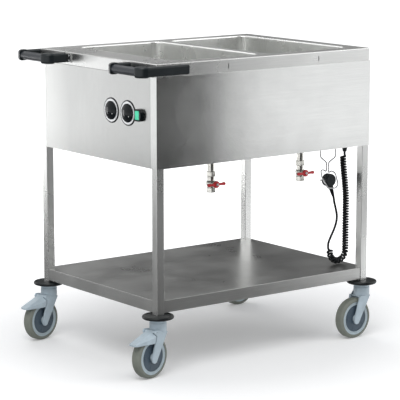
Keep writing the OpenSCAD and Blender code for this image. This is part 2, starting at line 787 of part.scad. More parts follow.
module cord_gland() placed() color(black) translate([gland_at.x, gland_at.y, 0]) {
    translate([0, 0, pan_z - 11]) cylinder(d = 26, h = 11, $fn = 6);
    translate([0, 0, gland_low + 3]) cylinder(d1 = 13, d2 = 22, h = pan_z - 11 - gland_low - 3);
    translate([0, 0, gland_low]) cylinder(d = 13, h = 3.01);
}

// The curly part winds about a line that goes down, round a half circle and up again.
curl_a = atan(0.192);                       // slope of the curls where an end begins
ease_l = 14;                                // length of cord in which an end turns upright
ease_k = (90 - curl_a)/ease_l;
function ease_phase(l) = (sin(curl_a + ease_k*l) - sin(curl_a))/curl_r/ease_k*180/PI*180/PI;
function ease_rise(l) = (cos(curl_a) - cos(curl_a + ease_k*l))/ease_k*180/PI;
leg_l = gland_low - lead - bend_z;
arc_l = PI*bend_r;
axis_l = leg_l + arc_l + rise;              // length of the winding's axis

// The curls stand further apart in the bend, so that they don't touch inside it.
loose = 1.2;
parts = [leg_l - ease_rise(ease_l), arc_l/loose, rise - ease_rise(ease_l)];
wound_l = parts[0] + parts[1] + parts[2];
turns = floor(wound_l/curl_pitch) + 0.25 - 2*ease_phase(ease_l)/360 + 1;
function along(t) = let (w = t*wound_l)
    w < parts[0] ? ease_rise(ease_l) + w
    : w < parts[0] + parts[1] ? leg_l + (w - parts[0])*loose
    : leg_l + arc_l + w - parts[0] - parts[1];

// A point of the winding's axis, and the outward direction there, at a distance along it.
function bent(s) = (s - leg_l)/bend_r*180/PI;
function leaning(s) = let (t = min(1, s/lean_l)) lean*(1 - t*t*(3 - 2*t));
function axis_at(s) = s < leg_l ? [leg_x - leaning(s), gland_low - lead - s]
    : s < leg_l + arc_l ? [leg_x - bend_r + bend_r*cos(bent(s)), bend_z - bend_r*sin(bent(s))]
    : [leg_x - 2*bend_r, bend_z + s - leg_l - arc_l];
function out_at(s) = s < leg_l ? [1, 0] : s < leg_l + arc_l ? [cos(bent(s)), -sin(bent(s))] : [-1, 0];
function curl_at(s, phase) = let (p = axis_at(s), n = out_at(s))
    [p.x + curl_r*cos(phase)*n.x, cord_y + curl_r*sin(phase), p.y + curl_r*cos(phase)*n.y];

steps = 8;                                  // rings in each curl
first_phase = -90 + ease_phase(ease_l);
rings_n = round(turns*steps);
curl_points = concat(
    [[gland_at.x, gland_at.y, gland_low], [gland_at.x, gland_at.y, gland_low - lead/2]],
    [for (j = [5:-1:1]) let (l = ease_l*j/5)
        curl_at(ease_rise(ease_l) - ease_rise(l), first_phase - ease_phase(l))],
    [for (j = [0:rings_n]) curl_at(along(j/rings_n), first_phase + 360*turns*j/rings_n)],
    [for (j = [1:5]) let (l = ease_l*j/5)
        curl_at(axis_l - ease_rise(ease_l) + ease_rise(l), -ease_phase(ease_l) + ease_phase(l))],
    [curl_at(axis_l, 0) + [0, 0, lead/2], curl_at(axis_l, 0) + [0, 0, lead]]);
curl_end = curl_at(axis_l, 0) + [0, 0, lead];

// Least distance between turns, and the length, measured on the ring centres.
n_curl = len(curl_points);
turn_gap = min([for (i = [0:n_curl - 6], j = [i + 5:min(i + 12, n_curl - 1)])
    norm(curl_points[i] - curl_points[j])]) - cord_d;
echo(least_gap_between_curls = turn_gap);
curl_parts = [for (i = [1:n_curl - 1]) norm(curl_points[i] - curl_points[i - 1])];
echo(curly_cord_length = curl_parts*[for (l = curl_parts) 1]);

// The tail's route from the curl to the strain relief: mm from the body's end, and the share
// of the height between the two.
tail_route = [[82.5, 0.04], [79.5, 0.09], [74.5, 0.15], [69, 0.21], [63, 0.275], [57.5, 0.343],
    [53, 0.414], [50, 0.49], [49, 0.568], [50.5, 0.646], [53.5, 0.72], [57, 0.796],
    [60.3, 0.868]];
tail_tilt = 20;             // lean of the plug's cable end
neck_l = 27;                // length of the strain relief
plug_mid = [frame_x - 84, pan_z - 113.5];
relief_top = plug_mid + (plug_d/2 + 8)*[sin(tail_tilt), -cos(tail_tilt)];
relief_end = relief_top + neck_l*[sin(tail_tilt), -cos(tail_tilt)];

tail_points = concat([curl_end], [for (p = tail_route) [frame_x - p.x, cord_y,
        curl_end.z + p.y*(relief_end.y - curl_end.z)]],
    [[relief_end.x + 6*sin(tail_tilt), cord_y, relief_end.y - 6*cos(tail_tilt)],
    [relief_end.x, cord_y, relief_end.y]]);

// ---------- tubes ----------

function unit(v) = v/norm(v);
function tangent(p, i, first, last) =
    i == 0 ? first : i == len(p) - 1 ? last : unit(unit(p[i + 1] - p[i]) + unit(p[i] - p[i - 1]));
// One unbroken tube through a list of points, with flat ends square to given directions.
module tube(p, d, sides, first, last) {
    n = len(p);
    t = [for (i = [0:n - 1]) tangent(p, i, first, last)];
    u0 = unit(cross(first, [0, 1, 0.01]));
    u = [for (i = 0, a = u0; i < n; i = i + 1, a = i < n ? unit(a - (a*t[i])*t[i]) : a) a];
    rings = [for (i = [0:n - 1]) let (a = unit(u[i] - (u[i]*t[i])*t[i]), b = cross(t[i], a))
        for (k = [0:sides - 1]) p[i] + d/2*(cos(360*k/sides)*a + sin(360*k/sides)*b)];
    points = concat(rings, [p[0], p[n - 1]]);
    side_faces = [for (i = [0:n - 2], k = [0:sides - 1]) let (k2 = (k + 1) % sides,
        a = i*sides + k, b = i*sides + k2, c = (i + 1)*sides + k, e = (i + 1)*sides + k2)
        each [[a, b, e], [a, e, c]]];
    caps = [for (k = [0:sides - 1]) let (k2 = (k + 1) % sides)
        each [[n*sides, k2, k], [n*sides + 1, (n - 1)*sides + k, (n - 1)*sides + k2]]];
    polyhedron(points, [for (f = concat(side_faces, caps)) [f[2], f[1], f[0]]]);
}

module cord_curl() placed() color(black) tube(curl_points, cord_d, 6, [0, 0, -1], [0, 0, 1]);

module cord_tail() placed() color(black) tube(tail_points, cord_d, 8, [0, 0, 1],
    [-sin(tail_tilt), 0, cos(tail_tilt)]);

module at_plug() placed() translate([plug_mid.x, cord_y, plug_mid.y]) rotate([0, -tail_tilt, 0])
    children();

module strain_relief() at_plug() color(black)
    translate([0, 0, -plug_d/2 - 8 - neck_l]) cylinder(d1 = 8.6, d2 = 14.5, h = neck_l);

module plug() at_plug() color(black) {
    rotate([90, 0, 0]) rotate_extrude() {
        translate([0, -plug_t/2]) square([plug_d/2 - 3, plug_t]);
        translate([0, -plug_t/2 + 3]) square([plug_d/2, plug_t - 6]);
        for (s = [-1, 1]) translate([plug_d/2 - 3, s*(plug_t/2 - 3)]) circle(3);
    }
    translate([0, 0, -plug_d/2 - 8]) cylinder(d1 = 16, d2 = 20, h = 20);
    for (s = [-1, 1]) translate([s*9.5, plug_t/2 - 1, 0]) rotate([-90, 0, 0])
        cylinder(d = 4.8, h = 20);
}

// The holder's wire in mm: down from the base pan, round the plug and up again.
holder_back = cord_y + plug_t/2 + wire_d/2 + gap;
holder_front = cord_y - plug_t/2 - wire_d/2 - gap;
// The wire's corners: mm from the body's end, y, and mm below the base pan.
holder_corners = [[105.7, holder_back, 0], [105.7, holder_back, 41.5], [81, holder_back, 60.5],
    [81, holder_back, 89.5], [96, holder_back, 81.5], [108, holder_back - 5, 84.5],
    [111.5, cord_y, 104.5], [109, holder_front, 122.5], [100, holder_front, 135.5],
    [68, holder_front, 138.5], [58, holder_front, 128.5], [52, cord_y, 110.5],
    [49, holder_back - 5, 96.5], [60, holder_back, 88.5], [72.3, holder_back, 94.5],
    [72.3, holder_back, 61.5], [44.6, holder_back, 46.5], [44.6, holder_back, 0]];
holder_route = [for (p = holder_corners) [frame_x - p.x, p.y, pan_z - p.z]];
bend_in = 6;                // length of wire taken up by each side of a bend

// Rounds the corners of a route with short curves.
function rounded(p) = [for (i = [0:len(p) - 1])
    if (i == 0 || i == len(p) - 1) p[i]
    else let (a = unit(p[i - 1] - p[i]), b = unit(p[i + 1] - p[i]),
        d = min(bend_in, norm(p[i - 1] - p[i])*0.45, norm(p[i + 1] - p[i])*0.45))
        each [for (t = [0:0.25:1]) p[i] + d*((1 - t)*(1 - t)*a + t*t*b)]];

module plug_holder() placed() color([0.66, 0.67, 0.68])
    tube(rounded(holder_route), wire_d, 10, [0, 0, -1], [0, 0, 1]);

top_deck();
well_control_end();
well_far_end();
corner_posts();
side_panel_near();
side_panel_far();
control_panel();
end_panel();
base_pan();
well_heaters();
thermostats();
knob_bezels();
knob_1();
knob_2();
switch_housing();
switch_rocker();
shelf();
handle_near();
handle_far();
handle_grips();
handle_steel();
corner_bumpers();
caster_stems();
caster_fork_1();
caster_fork_2();
caster_fork_3();
caster_fork_4();
wheel_axle_1();
wheel_axle_2();
wheel_axle_3();
wheel_axle_4();
wheel_rim_1();
wheel_rim_2();
wheel_rim_3();
wheel_rim_4();
wheel_cover_1();
wheel_cover_2();
wheel_cover_3();
wheel_cover_4();
tyre_1();
tyre_2();
tyre_3();
tyre_4();
brake_pedal_1();
brake_pedal_2();
drain_pipes();
valve_body_1();
valve_body_2();
valve_handle_1();
valve_handle_2();
plug_holder();
cord_gland();
cord_curl();
cord_tail();
strain_relief();
plug();
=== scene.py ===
"""Dresses the hostess trolley: brushed steel body, moulded handles, casters, drains and cord."""

from math import asin, atan, cos, dist, pi, radians, sin

import bmesh
import bpy
from mathutils import Matrix, Vector
from mathutils.bvhtree import BVHTree


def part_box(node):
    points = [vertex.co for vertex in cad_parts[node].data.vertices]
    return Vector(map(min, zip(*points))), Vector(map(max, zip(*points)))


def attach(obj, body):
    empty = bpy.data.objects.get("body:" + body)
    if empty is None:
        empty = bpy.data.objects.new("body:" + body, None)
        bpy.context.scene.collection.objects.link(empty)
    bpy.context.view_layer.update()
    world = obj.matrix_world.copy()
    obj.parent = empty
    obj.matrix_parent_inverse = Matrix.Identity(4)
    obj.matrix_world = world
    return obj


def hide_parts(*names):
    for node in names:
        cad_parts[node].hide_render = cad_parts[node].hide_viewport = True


bl_info = {
    "name": "Hostess Trolley",
    "version": (1, 0, 0),
    "blender": (4, 5, 0),
    "location": "View3D > Sidebar > Trolley",
    "description": "Builds the finished pieces of a heated serving trolley round its packed frame",
    "category": "Object",
}

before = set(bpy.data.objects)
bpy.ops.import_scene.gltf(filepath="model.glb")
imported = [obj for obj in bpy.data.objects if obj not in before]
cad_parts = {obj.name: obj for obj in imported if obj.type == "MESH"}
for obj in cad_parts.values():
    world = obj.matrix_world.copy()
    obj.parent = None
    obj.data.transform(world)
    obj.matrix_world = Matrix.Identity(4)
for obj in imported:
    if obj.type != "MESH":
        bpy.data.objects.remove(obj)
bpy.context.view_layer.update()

# Sizes are in millimetres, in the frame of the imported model, unless a comment says otherwise.
# Middle of the body's length.
BODY_X = 500 * (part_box("control_panel")[0][0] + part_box("end_panel")[1][0])
PANEL_X = 402.5
FRAME_X = 401
SKIRT_Z = 601
WELLS_X = (-145, 197)
DRAIN_Y = -216
VALVE_Z = 526.04
CONTROL_Z = 749
KNOB_YS = (-78, -161)
DOT_R = 16.5
SWITCH_Y = -223
HANDLE_Z = 882
WHEEL_R = 62.5
TRAIL = 37
CASTERS = ((-391, -287.5, 12), (-391, 287.5, 12), (391, -287.5, 2), (391, 287.5, 2))


# ---------- properties ----------


def colour_property(name, description, default):
    return bpy.props.FloatVectorProperty(
        name=name, description=description, default=default, size=3, subtype="COLOR", min=0, max=1
    )


def length_property(name, description, default):
    return bpy.props.FloatProperty(name=name, description=description, default=default, unit="LENGTH")


class TrolleyColours(bpy.types.PropertyGroup):
    steel: colour_property("Steel", "Colour of the brushed sheet steel", (0.63, 0.635, 0.625))
    moulding: colour_property("Moulding", "Colour of the black plastic mouldings", (0.010, 0.014, 0.016))
    grip: colour_property("Grip", "Colour of the grip tubes", (0.016, 0.021, 0.028))
    caster: colour_property("Caster", "Colour of the forks and brake pedals", (0.47, 0.56, 0.62))
    rim: colour_property("Rim", "Colour of the wheel rims", (0.44, 0.52, 0.56))
    cover: colour_property("Cover", "Colour of the wheel covers", (0.055, 0.085, 0.115))
    tyre: colour_property("Tyre", "Colour of the tyres", (0.20, 0.215, 0.185))
    lever: colour_property("Lever", "Colour of the valve handles", (0.50, 0.015, 0.02))
    # The lens green, which one half of the rocker also gives off as a painted glow.
    lens: colour_property("Lens", "Colour of the lit switch", (0.06, 0.62, 0.36))


class TrolleySizes(bpy.types.PropertyGroup):
    sheet_edge: length_property("Sheet edge", "Rounding of the sheet metal's edges", 0.00045)
    cord_diameter: length_property("Cord", "Diameter of the mains cord", 0.0070)
    rivet_diameter: length_property("Rivets", "Diameter of the rivet heads", 0.0062)


def sizes():
    return bpy.context.scene.trolley_sizes


# ---------- materials ----------


def preset(new, **settings):
    """Sets a node's sockets, by their names with a capital or as in_ and a number, and its options."""
    for key, value in settings.items():
        if key.startswith("in_"):
            new.inputs[int(key[3:])].default_value = value
        elif key[0].isupper():
            new.inputs[key.replace("_", " ")].default_value = value
        else:
            setattr(new, key, value)
    return new


def node(tree, kind, **settings):
    return preset(tree.nodes.new(kind), **settings)


def noise(tree, stretch, detail=3, rough=0.6):
    """A noise pattern on the object's own coordinates, with so many spots per metre along each axis."""
    place = node(tree, "ShaderNodeTexCoord")
    mapping = node(tree, "ShaderNodeMapping", Scale=stretch)
    tree.links.new(place.outputs["Object"], mapping.inputs["Vector"])
    pattern = node(tree, "ShaderNodeTexNoise", Scale=1, Detail=detail, Roughness=rough)
    tree.links.new(mapping.outputs["Vector"], pattern.inputs["Vector"])
    return pattern.outputs["Fac"]


def spread(tree, value, low, high, from_low=0.3, from_high=0.7):
    """Stretches a pattern's middle to the range from low to high."""
    fit = node(tree, "ShaderNodeMapRange", From_Min=from_low, From_Max=from_high, To_Min=low, To_Max=high)
    tree.links.new(value, fit.inputs["Value"])
    return fit.outputs["Result"]


def blended(tree, factor, first, second):
    mix = node(tree, "ShaderNodeMix", data_type="RGBA")
    for socket, value in ((mix.inputs[6], first), (mix.inputs[7], second)):
        if isinstance(value, bpy.types.NodeSocket):
            tree.links.new(value, socket)
        else:
            socket.default_value = (*value, 1)
    tree.links.new(factor, mix.inputs[0])
    return mix.outputs[2]


def bumped(tree, shader, height, strength, distance):
    bump = node(tree, "ShaderNodeBump", Strength=strength, Distance=distance)
    tree.links.new(height, bump.inputs["Height"])
    tree.links.new(bump.outputs["Normal"], shader.inputs["Normal"])


def new_material(name):
    material = bpy.data.materials.new(name)
    material.use_nodes = True
    return material, material.node_tree, material.node_tree.nodes["Principled BSDF"]


def shade_of(colour, factor):
    return tuple(min(1, part * factor) for part in colour)


def mottled(tree, pattern, colour, low, high):
    """A colour that goes with a pattern from one shade of itself to another."""
    return blended(tree, spread(tree, pattern, 0, 1), shade_of(colour, low), shade_of(colour, high))


def brushed_steel(name, stretch, colour, rough, line_depth):
    """Sheet steel with fine brushing lines, soft smudges and a faint grain."""
    material, tree, shader = new_material(name)
    lines = noise(tree, stretch, 4, 0.7)
    broad = noise(tree, tuple(part * 0.22 for part in stretch), 3, 0.6)
    smudges = noise(tree, (5, 5, 5), 4, 0.65)
    fine = mottled(tree, lines, colour, 0.90, 1.07)
    base = blended(tree, spread(tree, broad, 0, 0.5), fine, shade_of(colour, 0.93))
    tree.links.new(base, shader.inputs["Base Color"])
    preset(shader, Metallic=1)
    tree.links.new(spread(tree, smudges, rough[0], rough[1]), shader.inputs["Roughness"])
    bumped(tree, shader, lines, 0.35, line_depth)
    return material


def bare_metal(name, colour, rough):
    """Plated or cast metal with a faint mottle."""
    material, tree, shader = new_material(name)
    mottle = noise(tree, (60, 60, 60), 4)
    tree.links.new(mottled(tree, mottle, colour, 0.86, 1.08), shader.inputs["Base Color"])
    preset(shader, Metallic=1)
    tree.links.new(spread(tree, mottle, rough[1], rough[0]), shader.inputs["Roughness"])
    bumped(tree, shader, noise(tree, (900, 900, 900), 2), 0.2, 0.00005)
    return material


def moulded_plastic(name, colour, rough=(0.32, 0.48), grain=1400, depth=0.00006, coat=0, shine=0.5):
    """Moulded plastic or paint: a fine grain, slightly uneven gloss and faint dusting."""
    material, tree, shader = new_material(name)
    dust = noise(tree, (28, 28, 28), 5, 0.65)
    tree.links.new(mottled(tree, dust, colour, 0.90, 1.12), shader.inputs["Base Color"])
    tree.links.new(spread(tree, dust, rough[0], rough[1]), shader.inputs["Roughness"])
    preset(shader, Specular_IOR_Level=shine, Coat_Weight=coat, Coat_Roughness=0.12)
    bumped(tree, shader, noise(tree, (grain, grain, grain), 2), 0.3, depth)
    return material


def painted_glow_lens(name, colour):
    material, tree, shader = new_material(name)
    tint = mottled(tree, noise(tree, (90, 90, 60), 2), colour, 0.8, 1.25)
    tree.links.new(tint, shader.inputs["Base Color"])
    # Painted light: the green also glows as emission, so the rocker looks lit.
    tree.links.new(tint, shader.inputs["Emission Color"])
    preset(shader, Emission_Strength=0.25, Roughness=0.12)
    return material


# Brushed steel: lines per metre along each axis, brightness, roughness and depth of the lines. The brightness
# is painted light and shade: the same steel is set lighter or darker from part to part by how light falls on
# each, brightest in the wells and darkest on the control panel and the shelf.
STEELS = {
    "steel_upright": ((700, 700, 7), 0.84, (0.18, 0.27), 0.00006),
    "steel_control": ((700, 700, 7), 0.76, (0.18, 0.27), 0.00006),
    "steel_post": ((300, 300, 5), 0.97, (0.24, 0.32), 0.00001),
    "steel_along": ((7, 500, 700), 1.01, (0.15, 0.22), 0.00006),
    "steel_deck": ((7, 700, 500), 0.97, (0.24, 0.36), 0.00006),
    "steel_shelf": ((7, 700, 500), 0.83, (0.26, 0.38), 0.00006),
    "steel_well": ((9, 9, 9), 1.40, (0.24, 0.33), 0.00001),
}
# Other metal: colour and roughness.
METALS = {
    "heater": ((0.50, 0.50, 0.51), (0.35, 0.5)),
    "zinc": ((0.62, 0.63, 0.65), (0.22, 0.36)),
    "nickel": ((0.66, 0.65, 0.61), (0.16, 0.30)),
    "wire": ((0.60, 0.60, 0.61), (0.24, 0.36)),
}
# Plastic, rubber and paint: colour or the property that holds it, roughness, grains per metre,
# their depth, clear coat and shine.
PLASTICS = {
    "ceramic": ((0.62, 0.58, 0.48),),
    "gloss_black": ((0.004, 0.007, 0.009), (0.07, 0.12), 900, 0.00001, 0, 0.20),
    "black": ("moulding", (0.26, 0.38), 1500, 0.00007, 0, 0.35),
    # Painted shade: a darker copy of the lens green for the rocker's half that tilts away from the light.
    "dim_lens": ((0.006, 0.045, 0.032), (0.14, 0.22), 900, 0.00002, 0, 0.4),
    "grip": ("grip", (0.32, 0.44), 1200, 0.00008),
    "bumper": ((0.008, 0.010, 0.011), (0.28, 0.42), 700, 0.00008, 0, 0.3),
    "lever": ("lever", (0.28, 0.40), 800, 0.00005, 0.25),
    "cord": ((0.007, 0.008, 0.010), (0.30, 0.42), 1600, 0.00005, 0, 0.2),
    "caster": ("caster", (0.30, 0.44), 900, 0.00005, 0.15),
    "rim": ("rim", (0.34, 0.46), 1000, 0.00005),
    "cover": ("cover", (0.30, 0.42), 1000, 0.00005),
    "tyre": ("tyre", (0.55, 0.72), 600, 0.00018),
    # White of the knobs' dots, which are pointer marks and painted highlights in one.
    "white_mark": ((0.80, 0.80, 0.78), (0.4, 0.5)),
}
# Filled by make_finishes.
FINISH = {}


def make_finishes():
    """Makes every finish, by the name that the pieces use."""
    hue = bpy.context.scene.trolley_colours
    for name, (stretch, brightness, rough, depth) in STEELS.items():
        # The brightness of each part's steel is painted light and shade.
        FINISH[name] = brushed_steel(name, stretch, shade_of(hue.steel, brightness), rough, depth)
    FINISH["bezel"] = brushed_steel("bezel", (300, 300, 300), (0.66, 0.67, 0.68), (0.22, 0.34), 0.00003)
    for name, (colour, rough) in METALS.items():
        FINISH[name] = bare_metal(name, colour, rough)
    for name, (colour, *rest) in PLASTICS.items():
        FINISH[name] = moulded_plastic(name, getattr(hue, colour) if isinstance(colour, str) else colour, *rest)
    FINISH["lens"] = painted_glow_lens("lens", hue.lens)


# ---------- making pieces ----------


def added(name, data):
    """A new object in the scene."""
    thing = bpy.data.objects.new(name, data)
    bpy.context.scene.collection.objects.link(thing)
    return thing


def mesh_from(shape, name):
    """The mesh of a bmesh, which is freed."""
    mesh = bpy.data.meshes.new(name)
    shape.to_mesh(mesh)
    shape.free()
    return mesh


def mesh_of(shape, scale=0.001):
    """Turns a bmesh in millimetres into a mesh in metres, with its faces pointing outwards."""
    bmesh.ops.remove_doubles(shape, verts=shape.verts, dist=1e-4)
    bmesh.ops.recalc_face_normals(shape, faces=shape.faces)
    bmesh.ops.scale(shape, vec=(scale, scale, scale), verts=shape.verts)
    return mesh_from(shape, "piece")


def evaluated(helper):
    """The mesh that a helper object's modifiers make. The helper itself is removed."""
    bpy.context.view_layer.update()
    graph = bpy.context.evaluated_depsgraph_get()
    done = bpy.data.meshes.new_from_object(helper.evaluated_get(graph))
    bpy.data.objects.remove(helper)
    return done


def applied(mesh, *modifiers):
    """The mesh after modifiers, each given as its type and its settings."""
    helper = added("helper", mesh)
    for kind, settings in modifiers:
        modifier = helper.modifiers.new(kind, kind)
        for key, value in settings.items():
            setattr(modifier, key, value)
    return evaluated(helper)


def rounded(mesh, width, steps=2, angle=33):
    """The mesh with its sharp edges rounded, and no corner thrown off its old surface."""
    shape = bmesh.new()
    shape.from_mesh(mesh)
    surface = BVHTree.FromBMesh(shape)
    shape.free()
    settings = {
        "width": width,
        "segments": steps,
        "limit_method": "ANGLE",
        "angle_limit": radians(angle),
        "use_clamp_overlap": False,
        "miter_outer": "MITER_ARC",
    }
    done = applied(mesh, ("BEVEL", settings))
    for vertex in done.vertices:
        near, _, _, distance = surface.find_nearest(vertex.co)
        if distance > 0.6 * width:
            vertex.co = near
    return done


def moulded(mesh, grain=0.0006):
    """The mesh as one even skin with its edges softened, for a shape too fine to round by edges."""
    return applied(
        mesh,
        ("REMESH", {"mode": "VOXEL", "voxel_size": grain}),
        ("SMOOTH", {"factor": 0.5, "iterations": 8}),
        ("DECIMATE", {"ratio": 0.35}),
    )


def node_mesh(name, whole=True):
    """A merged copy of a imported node's mesh, its flat faces made whole where that is asked."""
    shape = bmesh.new()
    shape.from_mesh(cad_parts[name].data)
    bmesh.ops.remove_doubles(shape, verts=shape.verts, dist=1e-6)
    bmesh.ops.dissolve_limit(
        shape, angle_limit=radians(0.6), verts=shape.verts, edges=shape.edges, delimit={"NORMAL"}
    )
    if not whole:
        bmesh.ops.triangulate(shape, faces=shape.faces, quad_method="BEAUTY", ngon_method="BEAUTY")
    return mesh_from(shape, name)


def joined(meshes):
    shape = bmesh.new()
    for mesh in meshes:
        shape.from_mesh(mesh)
    return mesh_from(shape, "joined")


def placed(mesh, matrix):
    """Moves a mesh by a matrix whose shift is in millimetres."""
    move = matrix.copy()
    move.translation = move.translation * 0.001
    mesh.transform(move)
    return mesh


def finished(name, mesh, body, finish, replaces=(), smooth=36):
    """Makes a mesh a finished piece of the trolley that rides on a body."""
    mesh.shade_smooth()
    mesh.set_sharp_from_angle(angle=radians(smooth))
    mesh = applied(mesh, ("WEIGHTED_NORMAL", {"keep_sharp": True, "weight": 90}))
    mesh.name = name
    mesh.materials.clear()
    mesh.materials.append(FINISH[finish])
    piece = added(name, mesh)
    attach(piece, body)
    if replaces:
        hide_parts(*replaces)
    return piece


def dressed(name, node_name, slot, finish, width=None):
    """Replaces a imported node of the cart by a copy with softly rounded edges."""
    mesh = rounded(node_mesh(node_name), width or sizes().sheet_edge)
    finished(name, mesh, "cart", finish, (node_name,))


def lathe(profile, steps=72, closed=False):
    """Turns a profile of (radius, height) points round the Z axis."""
    shape = bmesh.new()
    turns = [2 * pi * k / steps for k in range(steps)]
    rings = []
    for radius, height in profile:
        places = turns if radius > 1e-6 else turns[:1]
        rings.append([shape.verts.new((radius * cos(a), radius * sin(a), height)) for a in places])
    pairs = list(zip(rings, rings[1:]))
    if closed:
        pairs.append((rings[-1], rings[0]))
    for low, high in pairs:
        for k in range(steps):
            below = [low[k % len(low)], low[(k + 1) % len(low)]]
            above = [high[(k + 1) % len(high)], high[k % len(high)]]
            face = list(dict.fromkeys(below + above))
            if len(face) > 2:
                shape.faces.new(face)
    return mesh_of(shape)


def prism(outline, low, high):
    """A flat outline of (x, y) points, raised from low to high."""
    shape = bmesh.new()
    bottom = [shape.verts.new((x, y, low)) for x, y in outline]
    top = [shape.verts.new((x, y, high)) for x, y in outline]
    shape.faces.new(bottom[::-1])
    shape.faces.new(top)
    for k in range(len(outline)):
        n = (k + 1) % len(outline)
        shape.faces.new((bottom[k], bottom[n], top[n], top[k]))
    return mesh_of(shape)


def tube(points, radius, sides, first, last):
    """A round tube through points, with flat closed ends that face first and last."""
    points = [Vector(p) for p in points]
    count = len(points)
    ways = [(points[min(k + 1, count - 1)] - points[max(k - 1, 0)]).normalized() for k in range(count)]
    ways[0], ways[-1] = Vector(first).normalized(), Vector(last).normalized()
    across = ways[0].cross(Vector((0, 1, 0.01))).normalized()
    turns = [2 * pi * s / sides for s in range(sides)]
    shape = bmesh.new()
    rings = []
    for point, way in zip(points, ways):
        across = (across - across.dot(way) * way).normalized()
        upright = way.cross(across)
        rings.append([shape.verts.new(point + radius * (cos(a) * across + sin(a) * upright)) for a in turns])
    for low, high in zip(rings, rings[1:]):
        for s in range(sides):
            n = (s + 1) % sides
            shape.faces.new((low[s], low[n], high[n], high[s]))
    shape.faces.new(rings[0][::-1])
    shape.faces.new(rings[-1])
    return mesh_of(shape)


def circle_points(radius, steps, centre=(0, 0), start=0, turn=360):
    """Points round a circle, or along an arc where the turn is less than a whole one."""
    whole = abs(turn) >= 360
    count = steps if whole else steps + 1
    return [
        (
            centre[0] + radius * cos(radians(start + turn * k / steps)),
            centre[1] + radius * sin(radians(start + turn * k / steps)),
        )
        for k in range(count)
    ]


def spun(degrees, axis):
    return Matrix.Rotation(radians(degrees), 4, axis)


def at_body(x=0, y=0, z=0):
    return Matrix.Translation((BODY_X + x, y, z))


def at_control(y, z):
    """Looks out of the control panel: z points away from it and x points up."""
    return at_body(-PANEL_X, y, z) @ spun(-90, "Y")


def at_caster(index):
    x, y, yaw = CASTERS[index]
    return at_body(x, y) @ spun(180 + yaw, "Z")


def at_axle(index):
    return at_caster(index) @ Matrix.Translation((TRAIL, 0, WHEEL_R)) @ spun(-90, "X")


# ---------- geometry nodes ----------


def repeat_tree(name, inputs):
    """A Geometry Nodes tree with its sockets, and the node that gives its inputs."""
    tree = bpy.data.node_groups.new(name, "GeometryNodeTree")
    for label, kind in (("Geometry", "Geometry"), *inputs, ("Material", "Material")):
        tree.interface.new_socket(label, in_out="INPUT", socket_type=f"NodeSocket{kind}")
    tree.interface.new_socket("Geometry", in_out="OUTPUT", socket_type="NodeSocketGeometry")
    return tree, tree.nodes.new("NodeGroupInput")


def repeat(tree, source, **sockets):
    """Ends a tree by an instance on every point, made real and painted."""
    add, link = tree.nodes.new, tree.links.new
    copy = add("GeometryNodeInstanceOnPoints")
    for label, value in sockets.items():
        link(value, copy.inputs[label])
    real = add("GeometryNodeRealizeInstances")
    link(copy.outputs["Instances"], real.inputs["Geometry"])
    paint = add("GeometryNodeSetMaterial")
    link(real.outputs["Geometry"], paint.inputs["Geometry"])
    link(source.outputs["Material"], paint.inputs["Material"])
    link(paint.outputs["Geometry"], add("NodeGroupOutput").inputs["Geometry"])
    return tree


def heads_tree():
    """Geometry Nodes that set a low domed head on every point, facing its own way."""
    tree, source = repeat_tree("domed_heads", (("Diameter", "Float"), ("Height", "Float")))
    add, link = tree.nodes.new, tree.links.new
    ball = node(tree, "GeometryNodeMeshUVSphere", Segments=16, Rings=8, Radius=0.5)
    size = add("ShaderNodeCombineXYZ")
    link(source.outputs["Diameter"], size.inputs["X"])
    link(source.outputs["Diameter"], size.inputs["Y"])
    double = node(tree, "ShaderNodeMath", operation="MULTIPLY", in_1=2)
    link(source.outputs["Height"], double.inputs[0])
    link(double.outputs["Value"], size.inputs["Z"])
    facing = node(tree, "GeometryNodeInputNamedAttribute", data_type="FLOAT_VECTOR", Name="facing")
    turn = node(tree, "FunctionNodeAlignRotationToVector", axis="Z")
    link(facing.outputs["Attribute"], turn.inputs["Vector"])
    return repeat(
        tree, source, Points=source.outputs["Geometry"], Instance=ball.outputs["Mesh"],
        Rotation=turn.outputs["Rotation"], Scale=size.outputs["Vector"],
    )


def ring_tree():
    """Geometry Nodes that repeat a small bar round a circle, each turned outwards."""
    tree, source = repeat_tree("ring_of_bars", (("Count", "Int"), ("Radius", "Float"), ("Size", "Vector")))
    add, link = tree.nodes.new, tree.links.new
    ring = add("GeometryNodeMeshCircle")
    link(source.outputs["Count"], ring.inputs["Vertices"])
    link(source.outputs["Radius"], ring.inputs["Radius"])
    bar = add("GeometryNodeMeshCube")
    link(source.outputs["Size"], bar.inputs["Size"])
    turn = node(tree, "FunctionNodeAlignRotationToVector", axis="X")
    link(add("GeometryNodeInputPosition").outputs["Position"], turn.inputs["Vector"])
    return repeat(
        tree, source, Points=ring.outputs["Mesh"], Instance=bar.outputs["Mesh"],
        Rotation=turn.outputs["Rotation"],
    )


def grown(tree, mesh, values):
    """Runs a Geometry Nodes tree on a mesh and returns the plain mesh that it makes."""
    helper = added("helper", mesh)
    modifier = helper.modifiers.new("Repeat", "NODES")
    modifier.node_group = tree
    for item in tree.interface.items_tree:
        if item.item_type == "SOCKET" and item.in_out == "INPUT" and item.name in values:
            modifier[item.identifier] = values[item.name]
    return evaluated(helper)


def heads(points, diameter, height, finish):
    """Domed heads at (place in mm, facing) pairs."""
    mesh = bpy.data.meshes.new("points")
    mesh.from_pydata([Vector(place) * 0.001 for place, _ in points], [], [])
    facing = mesh.attributes.new("facing", "FLOAT_VECTOR", "POINT")
    for slot_data, (_, way) in zip(facing.data, points):
        slot_data.vector = way
    tree = bpy.data.node_groups.get("domed_heads") or heads_tree()
    return grown(tree, mesh, {"Diameter": diameter, "Height": height, "Material": FINISH[finish]})


